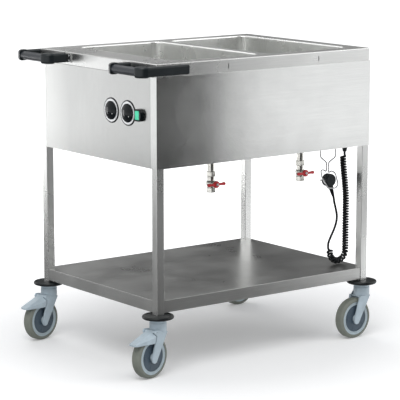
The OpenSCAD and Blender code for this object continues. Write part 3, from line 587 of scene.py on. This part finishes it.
def bar_ring(count, radius, size, height, finish):
    """A ring of small bars round the Z axis. radius, size and height are in millimetres."""
    tree = bpy.data.node_groups.get("ring_of_bars") or ring_tree()
    values = {
        "Count": count,
        "Radius": radius * 0.001,
        "Size": [part * 0.001 for part in size],
        "Material": FINISH[finish],
    }
    mesh = grown(tree, bpy.data.meshes.new("start"), values)
    return placed(rounded(mesh, 0.0002), Matrix.Translation((0, 0, height)))


# ---------- stage ----------


def any_ray(tree, *kinds):
    """One where the ray is of one of the kinds, or else zero."""
    path = node(tree, "ShaderNodeLightPath")
    value = path.outputs[kinds[0]]
    for kind in kinds[1:]:
        most = node(tree, "ShaderNodeMath", operation="MAXIMUM")
        tree.links.new(value, most.inputs[0])
        tree.links.new(path.outputs[kind], most.inputs[1])
        value = most.outputs["Value"]
    return value


def linked(tree, *pairs):
    for value, socket in pairs:
        tree.links.new(value, socket)


# Cards beside the trolley, in metres: centre, the point that each faces, width, height, brightness.
CARDS = {
    "dark_side": ((-0.28, -2.3, 1.2), (-0.28, 0, 1.2), 3.44, 3.4, 0.05),
    "dark_floor": ((-0.58, -1.38, 0.004), (-0.58, -1.38, 1), 2.84, 1.84, 0.14),
    "dark_corner": ((1.75, -2.2, 0.004), (1.75, -2.2, 1), 1.5, 1.4, 0.03),
    "grey_floor": ((-1.45, 1.35, 0.004), (-1.45, 1.35, 1), 2.1, 3.4, 0.24),
    "dark_back": ((1.9, 2.5, 0.68), (0, 0, 0.68), 5, 1, 0.04),
    "bright_side": ((-1.27, 2.2, 0.40), (-0.45, 0, 0.42), 0.12, 0.75, 14),
    "grey_back": ((1.9, 2.5, 2.3), (0, 0, 1.4), 5, 2.2, 0.30),
}


class TROLLEY_OT_stage(bpy.types.Operator):
    """Set the camera, the pale floor and the studio light"""

    bl_idname = "trolley.stage"
    bl_label = "Stage"

    def execute(self, context):
        scene = context.scene
        scene.view_settings.view_transform = "Standard"
        self.camera(scene)
        self.world(scene)
        self.floor()
        self.lamps()
        for name, settings in CARDS.items():
            self.card(name, *settings)
        return {"FINISHED"}

    def camera(self, scene):
        azimuth, elevation = radians(-37.2611), radians(10.0217)
        back = Vector((sin(azimuth) * cos(elevation), -cos(azimuth) * cos(elevation), sin(elevation)))
        right = Vector((cos(azimuth), sin(azimuth), 0))
        up = back.cross(right)
        data = bpy.data.cameras.new("camera")
        data.sensor_width = 36
        data.lens = 175.309
        camera = added("camera", data)
        turn = Matrix((right, up, back)).transposed().to_4x4()
        camera.matrix_world = Matrix.Translation((-3.590140 + BODY_X * 0.001, -4.691816, 1.474367)) @ turn
        scene.camera = camera

    def world(self, scene):
        """Soft light for the trolley, and plain white for the camera, in reflections and through glass."""
        world = bpy.data.worlds.new("studio")
        world.use_nodes = True
        scene.world = world
        tree = world.node_tree
        tree.nodes.clear()
        mix = node(tree, "ShaderNodeMixShader")
        out = node(tree, "ShaderNodeOutputWorld")
        linked(
            tree,
            (any_ray(tree, "Is Camera Ray", "Is Glossy Ray", "Is Transmission Ray"), mix.inputs[0]),
            (node(tree, "ShaderNodeBackground", in_0=(0.95, 0.97, 1, 1), in_1=0.50).outputs[0], mix.inputs[1]),
            (node(tree, "ShaderNodeBackground", in_0=(1, 1, 1, 1), in_1=1).outputs[0], mix.inputs[2]),
            (mix.outputs[0], out.inputs["Surface"]),
        )

    def floor(self):
        """A pale disc that takes shadows, with a glow that grows away from the trolley."""
        material = bpy.data.materials.new("floor")
        material.use_nodes = True
        tree = material.node_tree
        tree.nodes.clear()
        lift = node(tree, "ShaderNodeEmission", in_0=(1, 1, 1, 1))
        away = node(tree, "ShaderNodeVectorMath", operation="LENGTH")
        strength = node(tree, "ShaderNodeMath", operation="MULTIPLY")
        total = node(tree, "ShaderNodeAddShader")
        out = node(tree, "ShaderNodeOutputMaterial")
        linked(
            tree,
            (node(tree, "ShaderNodeTexCoord").outputs["Object"], away.inputs[0]),
            (any_ray(tree, "Is Camera Ray", "Is Glossy Ray"), strength.inputs[0]),
            (spread(tree, away.outputs["Value"], 0.20, 0.80, 0.5, 1.6), strength.inputs[1]),
            (strength.outputs["Value"], lift.inputs["Strength"]),
            (node(tree, "ShaderNodeBsdfDiffuse", in_0=(0.86, 0.86, 0.86, 1)).outputs[0], total.inputs[0]),
            (lift.outputs[0], total.inputs[1]),
            (total.outputs[0], out.inputs["Surface"]),
        )
        shape = bmesh.new()
        bmesh.ops.create_circle(shape, cap_ends=True, segments=96, radius=40)
        mesh = mesh_from(shape, "floor")
        mesh.materials.append(material)
        floor = added("floor", mesh)

    def card(self, name, centre, towards, width, height, grey):
        """A glowing card that shows in reflections alone, as a flag beside a studio camera does."""
        material, _, shader = new_material(name)
        preset(shader, Base_Color=(0, 0, 0, 1), Specular_IOR_Level=0)
        preset(shader, Emission_Color=(grey, grey, grey, 1), Emission_Strength=1)
        shape = bmesh.new()
        bmesh.ops.create_grid(shape, x_segments=1, y_segments=1, size=0.5)
        bmesh.ops.scale(shape, vec=(width, height, 1), verts=shape.verts)
        mesh = mesh_from(shape, name)
        mesh.materials.append(material)
        way = Vector(towards) - Vector(centre)
        mesh.transform(Matrix.Translation(centre) @ way.to_track_quat("Z", "Y").to_matrix().to_4x4())
        card = added(name, mesh)
        card.visible_camera = False
        card.visible_diffuse = False
        card.visible_shadow = False
        card.visible_transmission = False

    def lamps(self):
        for name, place, size, power in (
            ("key", (-2.6, -2.2, 4.6), 3.2, 110),
            ("fill", (3.4, -3.2, 2.6), 3, 40),
            ("back", (1, 3.8, 3.4), 3, 40),
        ):
            data = bpy.data.lights.new(name, "AREA")
            data.shape = "DISK"
            data.size = size
            data.energy = power
            lamp = added(name, data)
            lamp.location = place
            lamp.rotation_euler = (Vector((0, 0, 0.5)) - Vector(place)).to_track_quat("-Z", "Y").to_euler()


# ---------- cord ----------


# The curly cord leans out below its gland, goes down, round a bend and up to the smooth tail.
CORD_Y = -212
LEG_X = FRAME_X - 12.5
LEAN = 14
LEAN_L = 150
CURL_R = 7
CURL_PITCH = 0.192
BEND_R = 32
BEND_Z = 263
RISE = 14
CURLS = 46
LOOSE = 1.2
LEAD = 7
EASE = 14
PAN_Z = SKIRT_Z + 1.5
GLAND = (LEG_X - LEAN, CORD_Y - CURL_R, PAN_Z - 28.5)
# The tail: distance from the body's end, and share of the height between curl and relief.
TAIL_ROUTE = (
    (82.5, 0.04), (79.5, 0.09), (74.5, 0.15), (69, 0.21), (63, 0.275), (57.5, 0.343), (53, 0.414),
    (50, 0.49), (49, 0.568), (50.5, 0.646), (53.5, 0.72), (57, 0.796), (60.3, 0.868),
)
PLUG_MID = (FRAME_X - 84, PAN_Z - 113.5)
PLUG_TILT = 20
PLUG_R = 20
PLUG_T = 25
COLLAR = 8
NECK = 27


def curl_route(steps):
    """Points along the curly cord, winding about a line that goes down, round and up again."""
    slope = atan(CURL_PITCH)
    rate = (pi / 2 - slope) / EASE

    def ease_phase(run):
        return (sin(slope + rate * run) - sin(slope)) / CURL_R / rate

    def ease_rise(run):
        return (cos(slope) - cos(slope + rate * run)) / rate

    top = GLAND[2] - LEAD
    leg, arc = top - BEND_Z, pi * BEND_R
    whole = leg + arc + RISE
    full_rise, full_phase = ease_rise(EASE), ease_phase(EASE)
    parts = (leg - full_rise, arc / LOOSE, RISE - full_rise)
    turn = 2 * pi * (CURLS + 0.25) - 2 * full_phase

    def along(t):
        """The curls stand further apart in the bend."""
        w = t * sum(parts)
        if w < parts[0]:
            return full_rise + w
        if w < parts[0] + parts[1]:
            return leg + (w - parts[0]) * LOOSE
        return leg + arc + w - parts[0] - parts[1]

    def wound(s, phase):
        """A point of the winding, by its distance along the line and its angle round it."""
        if s < leg:
            t = min(1, s / LEAN_L)
            centre, out = (LEG_X - LEAN * (1 - t * t * (3 - 2 * t)), top - s), (1, 0)
        elif s < leg + arc:
            a = (s - leg) / BEND_R
            centre = (LEG_X - BEND_R + BEND_R * cos(a), BEND_Z - BEND_R * sin(a))
            out = (cos(a), -sin(a))
        else:
            centre, out = (LEG_X - 2 * BEND_R, BEND_Z + s - leg - arc), (-1, 0)
        return (
            centre[0] + CURL_R * cos(phase) * out[0],
            CORD_Y + CURL_R * sin(phase),
            centre[1] + CURL_R * cos(phase) * out[1],
        )

    begin = full_phase - pi / 2
    points = [GLAND, (GLAND[0], GLAND[1], GLAND[2] - LEAD / 2)]
    for j in range(10, 0, -1):
        run = EASE * j / 10
        points.append(wound(full_rise - ease_rise(run), begin - ease_phase(run)))
    count = round(turn / (2 * pi) * steps)
    points += [wound(along(j / count), begin + turn * j / count) for j in range(count + 1)]
    for j in range(1, 11):
        run = EASE * j / 10
        points.append(wound(whole - full_rise + ease_rise(run), ease_phase(run) - full_phase))
    end = wound(whole, 0)
    return points + [(end[0], end[1], end[2] + LEAD / 2), (end[0], end[1], end[2] + LEAD)]


def smooth_route(points, steps=4):
    """A smooth curve through the points."""
    points = [Vector(p) for p in points]
    done = []
    for k in range(len(points) - 1):
        a, b = points[k], points[k + 1]
        before = points[k - 1] if k else a
        after = points[k + 2] if k + 2 < len(points) else b
        for j in range(steps):
            t = j / steps
            first, second = (b - before) * 0.5, (after - a) * 0.5
            done.append(
                (2 * t**3 - 3 * t**2 + 1) * a + (t**3 - 2 * t**2 + t) * first
                + (3 * t**2 - 2 * t**3) * b + (t**3 - t**2) * second
            )
    done.append(points[-1])
    return done


def at_plug():
    return at_body(PLUG_MID[0], CORD_Y, PLUG_MID[1]) @ spun(-PLUG_TILT, "Y")


class TROLLEY_OT_cord(bpy.types.Operator):
    """Make the curly cord, its gland, strain relief, plug and holder"""

    bl_idname = "trolley.cord"
    bl_label = "Cord and plug"

    def execute(self, context):
        tilt = radians(PLUG_TILT)
        reach = PLUG_R + COLLAR + NECK
        relief_end = (PLUG_MID[0] + reach * sin(tilt), PLUG_MID[1] - reach * cos(tilt))
        before_end = (relief_end[0] + 6 * sin(tilt), relief_end[1] - 6 * cos(tilt))
        curl = curl_route(16)
        low = curl[-1][2]
        tail = [(FRAME_X - x, CORD_Y, low + share * (relief_end[1] - low)) for x, share in TAIL_ROUTE]
        tail += [(x, CORD_Y, z) for x, z in (before_end, relief_end)]
        route = curl[:-1] + [tuple(p) for p in smooth_route([curl[-1]] + tail)]
        route = [(x + BODY_X, y, z) for x, y, z in route]
        radius = sizes().cord_diameter / 2 * 1000
        mesh = tube(route, radius, 12, (0, 0, -1), (-sin(tilt), 0, cos(tilt)))
        cord = finished("cord", mesh, "cart", "cord", ("cord_curl", "cord_tail"), 60)
        plug = self.plug()
        relief = self.strain_relief()
        self.gland()
        self.holder()
        return {"FINISHED"}

    def plug(self):
        edge = 3.5
        profile = [(0, -PLUG_T / 2), (PLUG_R - edge - 2, -PLUG_T / 2)]
        profile += circle_points(edge, 6, (PLUG_R - edge, -PLUG_T / 2 + edge), -90, 90)
        profile += [(PLUG_R, -8.5), (PLUG_R - 0.9, -8), (PLUG_R - 0.9, 8), (PLUG_R, 8.5)]
        profile += circle_points(edge, 6, (PLUG_R - edge, PLUG_T / 2 - edge), 0, 90)
        profile += [(PLUG_R - edge - 2, PLUG_T / 2), (0, PLUG_T / 2)]
        drum = placed(lathe(profile, 72), spun(90, "X"))
        low = -PLUG_R - COLLAR
        neck = lathe([(0, low), (8, low), (8.6, low + 4), (10, low + 12), (10, -8), (0, -8)], 40)
        ribs = bar_ring(36, PLUG_R - 0.55, (1, 1.5, 16.5), 0, "black")
        body = joined([drum, neck, placed(ribs, spun(90, "X"))])
        plug = finished("plug_body", placed(body, at_plug()), "cart", "black", ("plug",))
        pins = []
        for side in (-9.5, 9.5):
            pin = lathe([(0, 0), (2.4, 0), (2.4, 17.6), (2, 18.8), (1.2, 19.4), (0, 19.5)], 24)
            seat = Matrix.Translation((side, PLUG_T / 2 - 0.5, 0)) @ spun(-90, "X")
            pins.append(placed(pin, seat))
        finished("plug_pins", placed(joined(pins), at_plug()), "cart", "nickel")
        return plug

    def strain_relief(self):
        low, high = -PLUG_R - COLLAR - NECK, -PLUG_R - COLLAR
        profile = [(0, low), (4, low)]
        rings = 7
        for k in range(rings):
            start, size = low + NECK * k / rings, 4.3 + 2.7 * k / rings
            profile += [(size, start + 0.5), (size + 0.2, start + 2.3)]
            profile += [(size - 0.7, start + 2.7), (size - 0.7, start + 3.4)]
        profile += [(7, high - 0.4), (7, high), (0, high)]
        mesh = placed(lathe(profile, 40), at_plug())
        return finished("relief", mesh, "cart", "cord", ("strain_relief",))

    def gland(self):
        top, low = PAN_Z, GLAND[2]
        nut = rounded(prism(circle_points(13, 6), top - 11, top), 0.0008)
        profile = [(0, low), (5.4, low), (6.4, low + 0.8), (6.5, low + 3), (8.6, top - 17)]
        profile += [(9.6, top - 16.2), (10.6, top - 13), (10.9, top - 11), (0, top - 11)]
        mesh = placed(joined([nut, lathe(profile, 40)]), at_body(GLAND[0], GLAND[1]))
        finished("gland", mesh, "cart", "black", ("cord_gland",))

    def holder(self):
        back, front = CORD_Y + PLUG_T / 2 + 2.3, CORD_Y - PLUG_T / 2 - 2.3
        corners = [
            (105.7, back, 0), (105.7, back, 41.5), (81, back, 60.5), (81, back, 89.5), (96, back, 81.5),
            (108, back - 5, 84.5), (111.5, CORD_Y, 104.5), (109, front, 122.5), (100, front, 135.5),
            (68, front, 138.5), (58, front, 128.5), (52, CORD_Y, 110.5), (49, back - 5, 96.5),
            (60, back, 88.5), (72.3, back, 94.5), (72.3, back, 61.5), (44.6, back, 46.5), (44.6, back, 0),
        ]
        route = [(FRAME_X - x, y, PAN_Z - down) for x, y, down in corners]
        top, feet_x = PAN_Z, (route[0][0], route[-1][0])
        points = [Vector(p) for p in route]
        bent = [points[0]]
        for before, corner, after in zip(points, points[1:], points[2:]):
            size = min(6, (before - corner).length * 0.45, (after - corner).length * 0.45)
            a, b = (before - corner).normalized(), (after - corner).normalized()
            bent += [corner + size * ((1 - t / 8) ** 2 * a + (t / 8) ** 2 * b) for t in range(9)]
        bent.append(points[-1])
        wire = placed(tube(bent, 2, 16, (0, 0, -1), (0, 0, 1)), at_body())
        foot = [(0, top - 2.5), (4.4, top - 2.5), (5.2, top - 1.3), (5.2, top), (0, top)]
        feet = [placed(lathe(foot, 24), at_body(x, back)) for x in feet_x]
        finished("holder", joined([wire] + feet), "cart", "wire", ("plug_holder",), 50)


# ---------- body ----------


class TROLLEY_OT_body(bpy.types.Operator):
    """Dress the deck, wells, posts, panels and shelf"""

    bl_idname = "trolley.body"
    bl_label = "Body and shelf"

    def execute(self, context):
        for name, held, finish, *width in (
            ("deck", "top_deck", "deck"),
            ("well_a", "well_control_end", "well"),
            ("well_b", "well_far_end", "well"),
            ("posts", "corner_posts", "post", 0.0015),
            ("panel_near", "side_panel_near", "along"),
            ("panel_far", "side_panel_far", "along"),
            ("panel_control", "control_panel", "control"),
            ("panel_end", "end_panel", "upright"),
            ("pan", "base_pan", "along"),
            ("lower_shelf", "shelf", "shelf", 0.0009),
        ):
            dressed(name, held, "steel_sheet", f"steel_{finish}", *width)
        for name, finish in (("well_heaters", "heater"), ("thermostats", "ceramic"), ("caster_stems", "zinc")):
            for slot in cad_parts[name].material_slots:
                slot.material = FINISH[finish]
        return {"FINISHED"}


# ---------- controls ----------


class TROLLEY_OT_controls(bpy.types.Operator):
    """Make the two knobs with their bezels, and the switch"""

    bl_idname = "trolley.controls"
    bl_label = "Controls"

    def execute(self, context):
        rings, discs, marks = [], [], []
        edge = [(5, 0), (36.2, 0), (37, 0.5), (37, 1.2), (36.4, 1.6), (5, 1.6)]
        dial = [(5, 1.6), (33.5, 1.6), (33.5, 2.1), (33.2, 2.4), (5, 2.4)]
        for y in KNOB_YS:
            out = at_control(y, CONTROL_Z)
            discs.append(placed(lathe(edge, 96, True), out))
            rings.append(placed(lathe(dial, 96, True), out))
            marks.append(placed(bar_ring(24, 31.4, (1.6, 0.5, 0.2), 2.45, "black"), out))
        finished("bezels", joined(discs), "cart", "gloss_black", ("knob_bezels",))
        finished("dials", joined(rings), "cart", "bezel")
        finished("dial_marks", joined(marks), "cart", "black")
        for number, y in enumerate(KNOB_YS, 1):
            self.knob(number, y)
        self.switch()
        return {"FINISHED"}

    def knob(self, number, y):
        foot, height, radius, rim = 2.7, 8.5, 27.3, 1.7
        dome = (radius**2 + (height - rim) ** 2) / 2 / (height - rim)
        edge = asin((radius - 0.5) / dome)
        profile = [(0, foot), (radius - 0.8, foot), (radius, foot + 0.5), (radius, foot + rim - 0.5)]
        for k in range(25):
            turn = edge * (1 - k / 24)
            profile.append((dome * sin(turn), foot + height - dome * (1 - cos(turn))))
        spindle = lathe([(0, -21.5), (3, -21.5), (3, foot + 1), (0, foot + 1)], 32)
        out = at_control(y, CONTROL_Z)
        body = placed(joined([lathe(profile, 96), spindle]), out)
        knob = f"knob_{number}"
        finished(f"knob_cap_{number}", body, knob, "gloss_black", (knob,), 40)
        # A white pointer dot set where the dome shows its small highlight: a pointer mark and a painted
        # highlight in one.
        low = foot + height - dome * (1 - cos(asin(DOT_R / dome)))
        dot = lathe([(0, low - 0.6), (1.9, low - 0.6), (1.9, low + 0.1), (0, low + 0.25)], 24)
        spot = out @ spun(-120, "Z") @ Matrix.Translation((DOT_R, 0, 0))
        finished(f"knob_dot_{number}", placed(dot, spot), knob, "white_mark")

    def switch(self):
        housing = rounded(node_mesh("switch_housing", False), 0.0009, 3)
        finished("switch_body", housing, "cart", "gloss_black", ("switch_housing",))
        # Painted light and shade: one half of the rocker glows and the other is a darker copy of its green.
        for name, finish, side, replaces in (
            ("rocker_lens", "lens", 1, ("switch_rocker",)),
            ("rocker_end", "dim_lens", -1, ()),
        ):
            half = rounded(self.half_rocker(side), 0.0005, 3)
            finished(name, half, "switch_rocker", finish, replaces)

    def half_rocker(self, side):
        """The rocker's part on one side of the line where its lit and shaded halves meet; the halves take a
        glowing and a darker copy of one green as painted light and shade.
        """
        shape = bmesh.new()
        shape.from_mesh(node_mesh("switch_rocker"))
        cut = bmesh.ops.bisect_plane(
            shape,
            geom=shape.verts[:] + shape.edges[:] + shape.faces[:],
            plane_co=(0, (SWITCH_Y - 5.5) * 0.001, 0),
            plane_no=(0, -side, 0),
            clear_outer=True,
        )
        edges = [item for item in cut["geom_cut"] if isinstance(item, bmesh.types.BMEdge)]
        bmesh.ops.contextual_create(shape, geom=edges)
        return mesh_of(shape, 1)


# ---------- handles ----------


GRIP_X = -463
GRIP_R = 12.5
GRIP_ENDS = (182, 297.5)


class TROLLEY_OT_handles(bpy.types.Operator):
    """Make the moulded handles, their grips and steel straps"""

    bl_idname = "trolley.handles"
    bl_label = "Handles"

    def execute(self, context):
        for side in ("near", "far"):
            mesh = rounded(node_mesh(f"handle_{side}"), 0.0007, 2, 40)
            finished(f"moulding_{side}", mesh, "cart", "black", (f"handle_{side}",), 30)
        length = GRIP_ENDS[1] - GRIP_ENDS[0]
        grip = [(0, 0), (GRIP_R, 0), (GRIP_R, length), (0, length)]
        grips, screws = [], []
        for sign in (-1, 1):
            place = at_body(GRIP_X, sign * GRIP_ENDS[0], HANDLE_Z) @ spun(-90 * sign, "X")
            grips.append(placed(lathe(grip, 48), place))
            for z in (HANDLE_Z + 7, HANDLE_Z - 7):
                screws.append(((BODY_X - 403.9, sign * 141, z), (-1, 0, 0)))
            screws.append(((BODY_X - 299.5, sign * 301.4, HANDLE_Z), (0, sign, 0)))
        finished("grips", joined(grips), "cart", "grip", ("handle_grips",))
        dressed("straps", "handle_steel", "steel_sheet", "steel_along")
        mesh = heads(screws, sizes().rivet_diameter, 0.0012, "zinc")
        finished("handle_screws", mesh, "cart", "zinc")
        return {"FINISHED"}


# ---------- casters ----------


RIM_R = 51.5
BOTH_SIDES = (spun(180, "X"), spun(0, "X"))


def two_sided(profile):
    """A profile and its mirror image below, as one closed outline."""
    return profile + [(r, -z) for r, z in reversed(profile)]


class TROLLEY_OT_casters(bpy.types.Operator):
    """Make the four casters, their bumpers and the two brake pedals"""

    bl_idname = "trolley.casters"
    bl_label = "Casters"

    def execute(self, context):
        for index in range(4):
            self.caster(index)
        self.bumpers()
        return {"FINISHED"}

    def caster(self, index):
        number = index + 1
        swivel, wheel = f"caster_{number}", f"wheel_{number}"
        axle = at_axle(index)
        fork = rounded(node_mesh(f"caster_fork_{number}"), 0.0011, 2, 40)
        finished(f"fork_{number}", fork, swivel, "caster", (f"caster_fork_{number}",))
        pins = [placed(lathe([(0, -22.7), (4, -22.7), (4, 22.7), (0, 22.7)], 32), axle)]
        head = [(0, 24.8), (6.6, 24.8), (6.6, 25.3), (5.6, 25.8), (3, 26.1), (0, 26.2)]
        pins += [placed(lathe(head, 40), axle @ flip) for flip in BOTH_SIDES]
        bolt = joined(pins)
        finished(f"axle_bolt_{number}", bolt, swivel, "caster", (f"wheel_axle_{number}",))
        self.wheel(number, wheel, axle)
        if index < 2:
            pedal, held = f"pedal_{number}", f"brake_pedal_{number}"
            finished(pedal, moulded(node_mesh(held, False)), pedal, "caster", (held,))

    def wheel(self, number, body, axle):
        half, shoulder = 16, 9
        side = [(RIM_R + 0.3, half - 0.6), (RIM_R + 0.8, half - 0.1), (54.4, half)]
        side += circle_points(shoulder, 10, (WHEEL_R - shoulder, half - shoulder), 78, -78)
        tread = [(WHEEL_R, 3.2), (WHEEL_R - 0.35, 2.9), (WHEEL_R - 0.35, 2.3), (WHEEL_R, 2)]
        tyre = placed(lathe(two_sided(side + tread), 120, True), axle)
        finished(f"tyre_ring_{number}", tyre, body, "tyre", (f"tyre_{number}",), 50)
        face = 14.5
        step = [(4.08, 21), (9.5, 21), (12, 20), (12, 10), (42, 10), (42, face - 0.4)]
        step += [(42.5, face), (44.6, face), (45.2, face - 0.8), (48.4, face - 0.8), (49, face)]
        step += [(RIM_R - 0.4, face), (RIM_R, face - 0.4)]
        rim = placed(lathe(two_sided(step), 96, True), axle)
        finished(f"rim_{number}", rim, body, "rim", (f"wheel_rim_{number}",), 40)
        profile = [(12.3, 10), (41.1, 10), (41.5, 10.4), (41.5, 12.1), (40.9, 12.6), (38, 12.6)]
        profile += [(37.1, 12.9), (22, 14.3), (20.8, 14.2), (19.6, 13.4)]
        profile += [(15.6, 13.4), (14.8, 14.2), (12.3, 14.4)]
        dent = [(24, -2.4), (35.5, -3.3), (35.5, 3.3), (24, 2.4)]
        discs = []
        for flip in BOTH_SIDES:
            discs.append(placed(lathe(profile, 96, True), axle @ flip))
            for k in range(5):
                recess = rounded(prism(dent, 12.7, 14.4), 0.0006)
                discs.append(placed(recess, axle @ flip @ spun(72 * k, "Z")))
        cover = joined(discs)
        finished(f"cover_{number}", cover, body, "cover", (f"wheel_cover_{number}",), 40)

    def bumpers(self):
        discs = []
        for x, y, _ in CASTERS:
            low, high = 168, 178
            profile = [(6.3, low), (35.5, low), (36.5, low + 0.8), (38.5, low + 0.8), (39.5, low)]
            profile += circle_points(5, 12, (41.5, low + 5), -80, 160)
            profile += [(39.5, high), (37.5, high - 1.2), (35.5, high - 1.5)]
            profile += [(31.5, high - 1.3), (28.5, high), (6.3, high)]
            discs.append(placed(lathe(profile, 96, True), at_body(x, y)))
        finished("bumpers", joined(discs), "cart", "bumper", ("corner_bumpers",), 50)


# ---------- drains ----------


class TROLLEY_OT_drains(bpy.types.Operator):
    """Make the drain pipes, valves and their red handles"""

    bl_idname = "trolley.drains"
    bl_label = "Drains"

    def execute(self, context):
        dressed("pipes", "drain_pipes", "pipe_metal", "nickel", 0.0004)
        for number, x in enumerate(WELLS_X, 1):
            body = rounded(node_mesh(f"valve_body_{number}"), 0.0008, 2, 40)
            finished(f"valve_{number}", body, "cart", "nickel", (f"valve_body_{number}",))
            self.lever(number, x)
        return {"FINISHED"}

    def lever(self, number, x):
        turned = at_body(x, DRAIN_Y - 23, VALVE_Z) @ spun(90, "X")
        hub = lathe([(0, 0), (9.7, 0), (10.5, 0.8), (10.5, 5.4), (9.8, 6.4), (7.5, 7), (0, 7)], 48)
        stem = lathe([(0, -12.4), (4, -12.4), (4, 1), (0, 1)], 32)
        outline = [(2, -4.2), (14, -3.4), (23, -3.8)]
        outline += circle_points(5, 12, (28, 0), -110, 220)
        outline += [(23, 3.8), (14, 3.4), (2, 4.2)]
        wings = []
        for angle in (180, 0):
            wing = rounded(prism(outline, 0.9, 6.2), 0.0010, 3)
            wings.append(placed(wing, spun(angle, "Z")))
        mesh = placed(joined([hub, stem] + wings), turned)
        body = f"valve_handle_{number}"
        finished(f"lever_{number}", mesh, body, "lever", (body,), 40)
        nut = rounded(prism(circle_points(4.6, 6), 7.1, 9.4), 0.0004)
        end = lathe([(0, 9.3), (2.2, 9.3), (2.2, 10.6), (1.6, 11.1), (0, 11.1)], 20)
        finished(f"lever_nut_{number}", placed(joined([nut, end]), turned), body, "zinc")


# ---------- fasteners ----------


RIVET_X = 388.5
RIVET_Y = 296.9
RIVET_ZS = (191, 209)


class TROLLEY_OT_fasteners(bpy.types.Operator):
    """Set rivets and screws on the body"""

    bl_idname = "trolley.fasteners"
    bl_label = "Rivets and screws"

    def execute(self, context):
        rivets = []
        for x in (-RIVET_X, RIVET_X):
            for side in (-1, 1):
                for z in RIVET_ZS:
                    rivets.append(((BODY_X + x, side * RIVET_Y, z), (0, side, 0)))
        mesh = heads(rivets, sizes().rivet_diameter, 0.0013, "zinc")
        finished("shelf_screws", mesh, "cart", "zinc")
        return {"FINISHED"}


# ---------- panel and registration ----------


class TROLLEY_PT_panel(bpy.types.Panel):
    """Lists the trolley's groups of pieces"""

    bl_label = "Hostess Trolley"
    bl_idname = "TROLLEY_PT_panel"
    bl_space_type = "VIEW_3D"
    bl_region_type = "UI"
    bl_category = "Trolley"

    def draw(self, context):
        for group in (context.scene.trolley_colours, context.scene.trolley_sizes):
            for key in group.__annotations__:
                self.layout.prop(group, key)
        for step in STEPS:
            self.layout.operator(step.bl_idname)


STEPS = (
    TROLLEY_OT_stage,
    TROLLEY_OT_cord,
    TROLLEY_OT_body,
    TROLLEY_OT_controls,
    TROLLEY_OT_handles,
    TROLLEY_OT_casters,
    TROLLEY_OT_drains,
    TROLLEY_OT_fasteners,
)
CLASSES = (TrolleyColours, TrolleySizes, *STEPS, TROLLEY_PT_panel)


def register():
    for cls in CLASSES:
        bpy.utils.register_class(cls)
    bpy.types.Scene.trolley_colours = bpy.props.PointerProperty(type=TrolleyColours)
    bpy.types.Scene.trolley_sizes = bpy.props.PointerProperty(type=TrolleySizes)


def unregister():
    del bpy.types.Scene.trolley_sizes
    del bpy.types.Scene.trolley_colours
    for cls in reversed(CLASSES):
        bpy.utils.unregister_class(cls)


def main():
    register()
    make_finishes()
    bpy.ops.trolley.stage()
    bpy.ops.trolley.cord()
    bpy.ops.trolley.body()
    bpy.ops.trolley.controls()
    bpy.ops.trolley.handles()
    bpy.ops.trolley.casters()
    bpy.ops.trolley.drains()
    bpy.ops.trolley.fasteners()


if __name__ == "__main__":
    main()
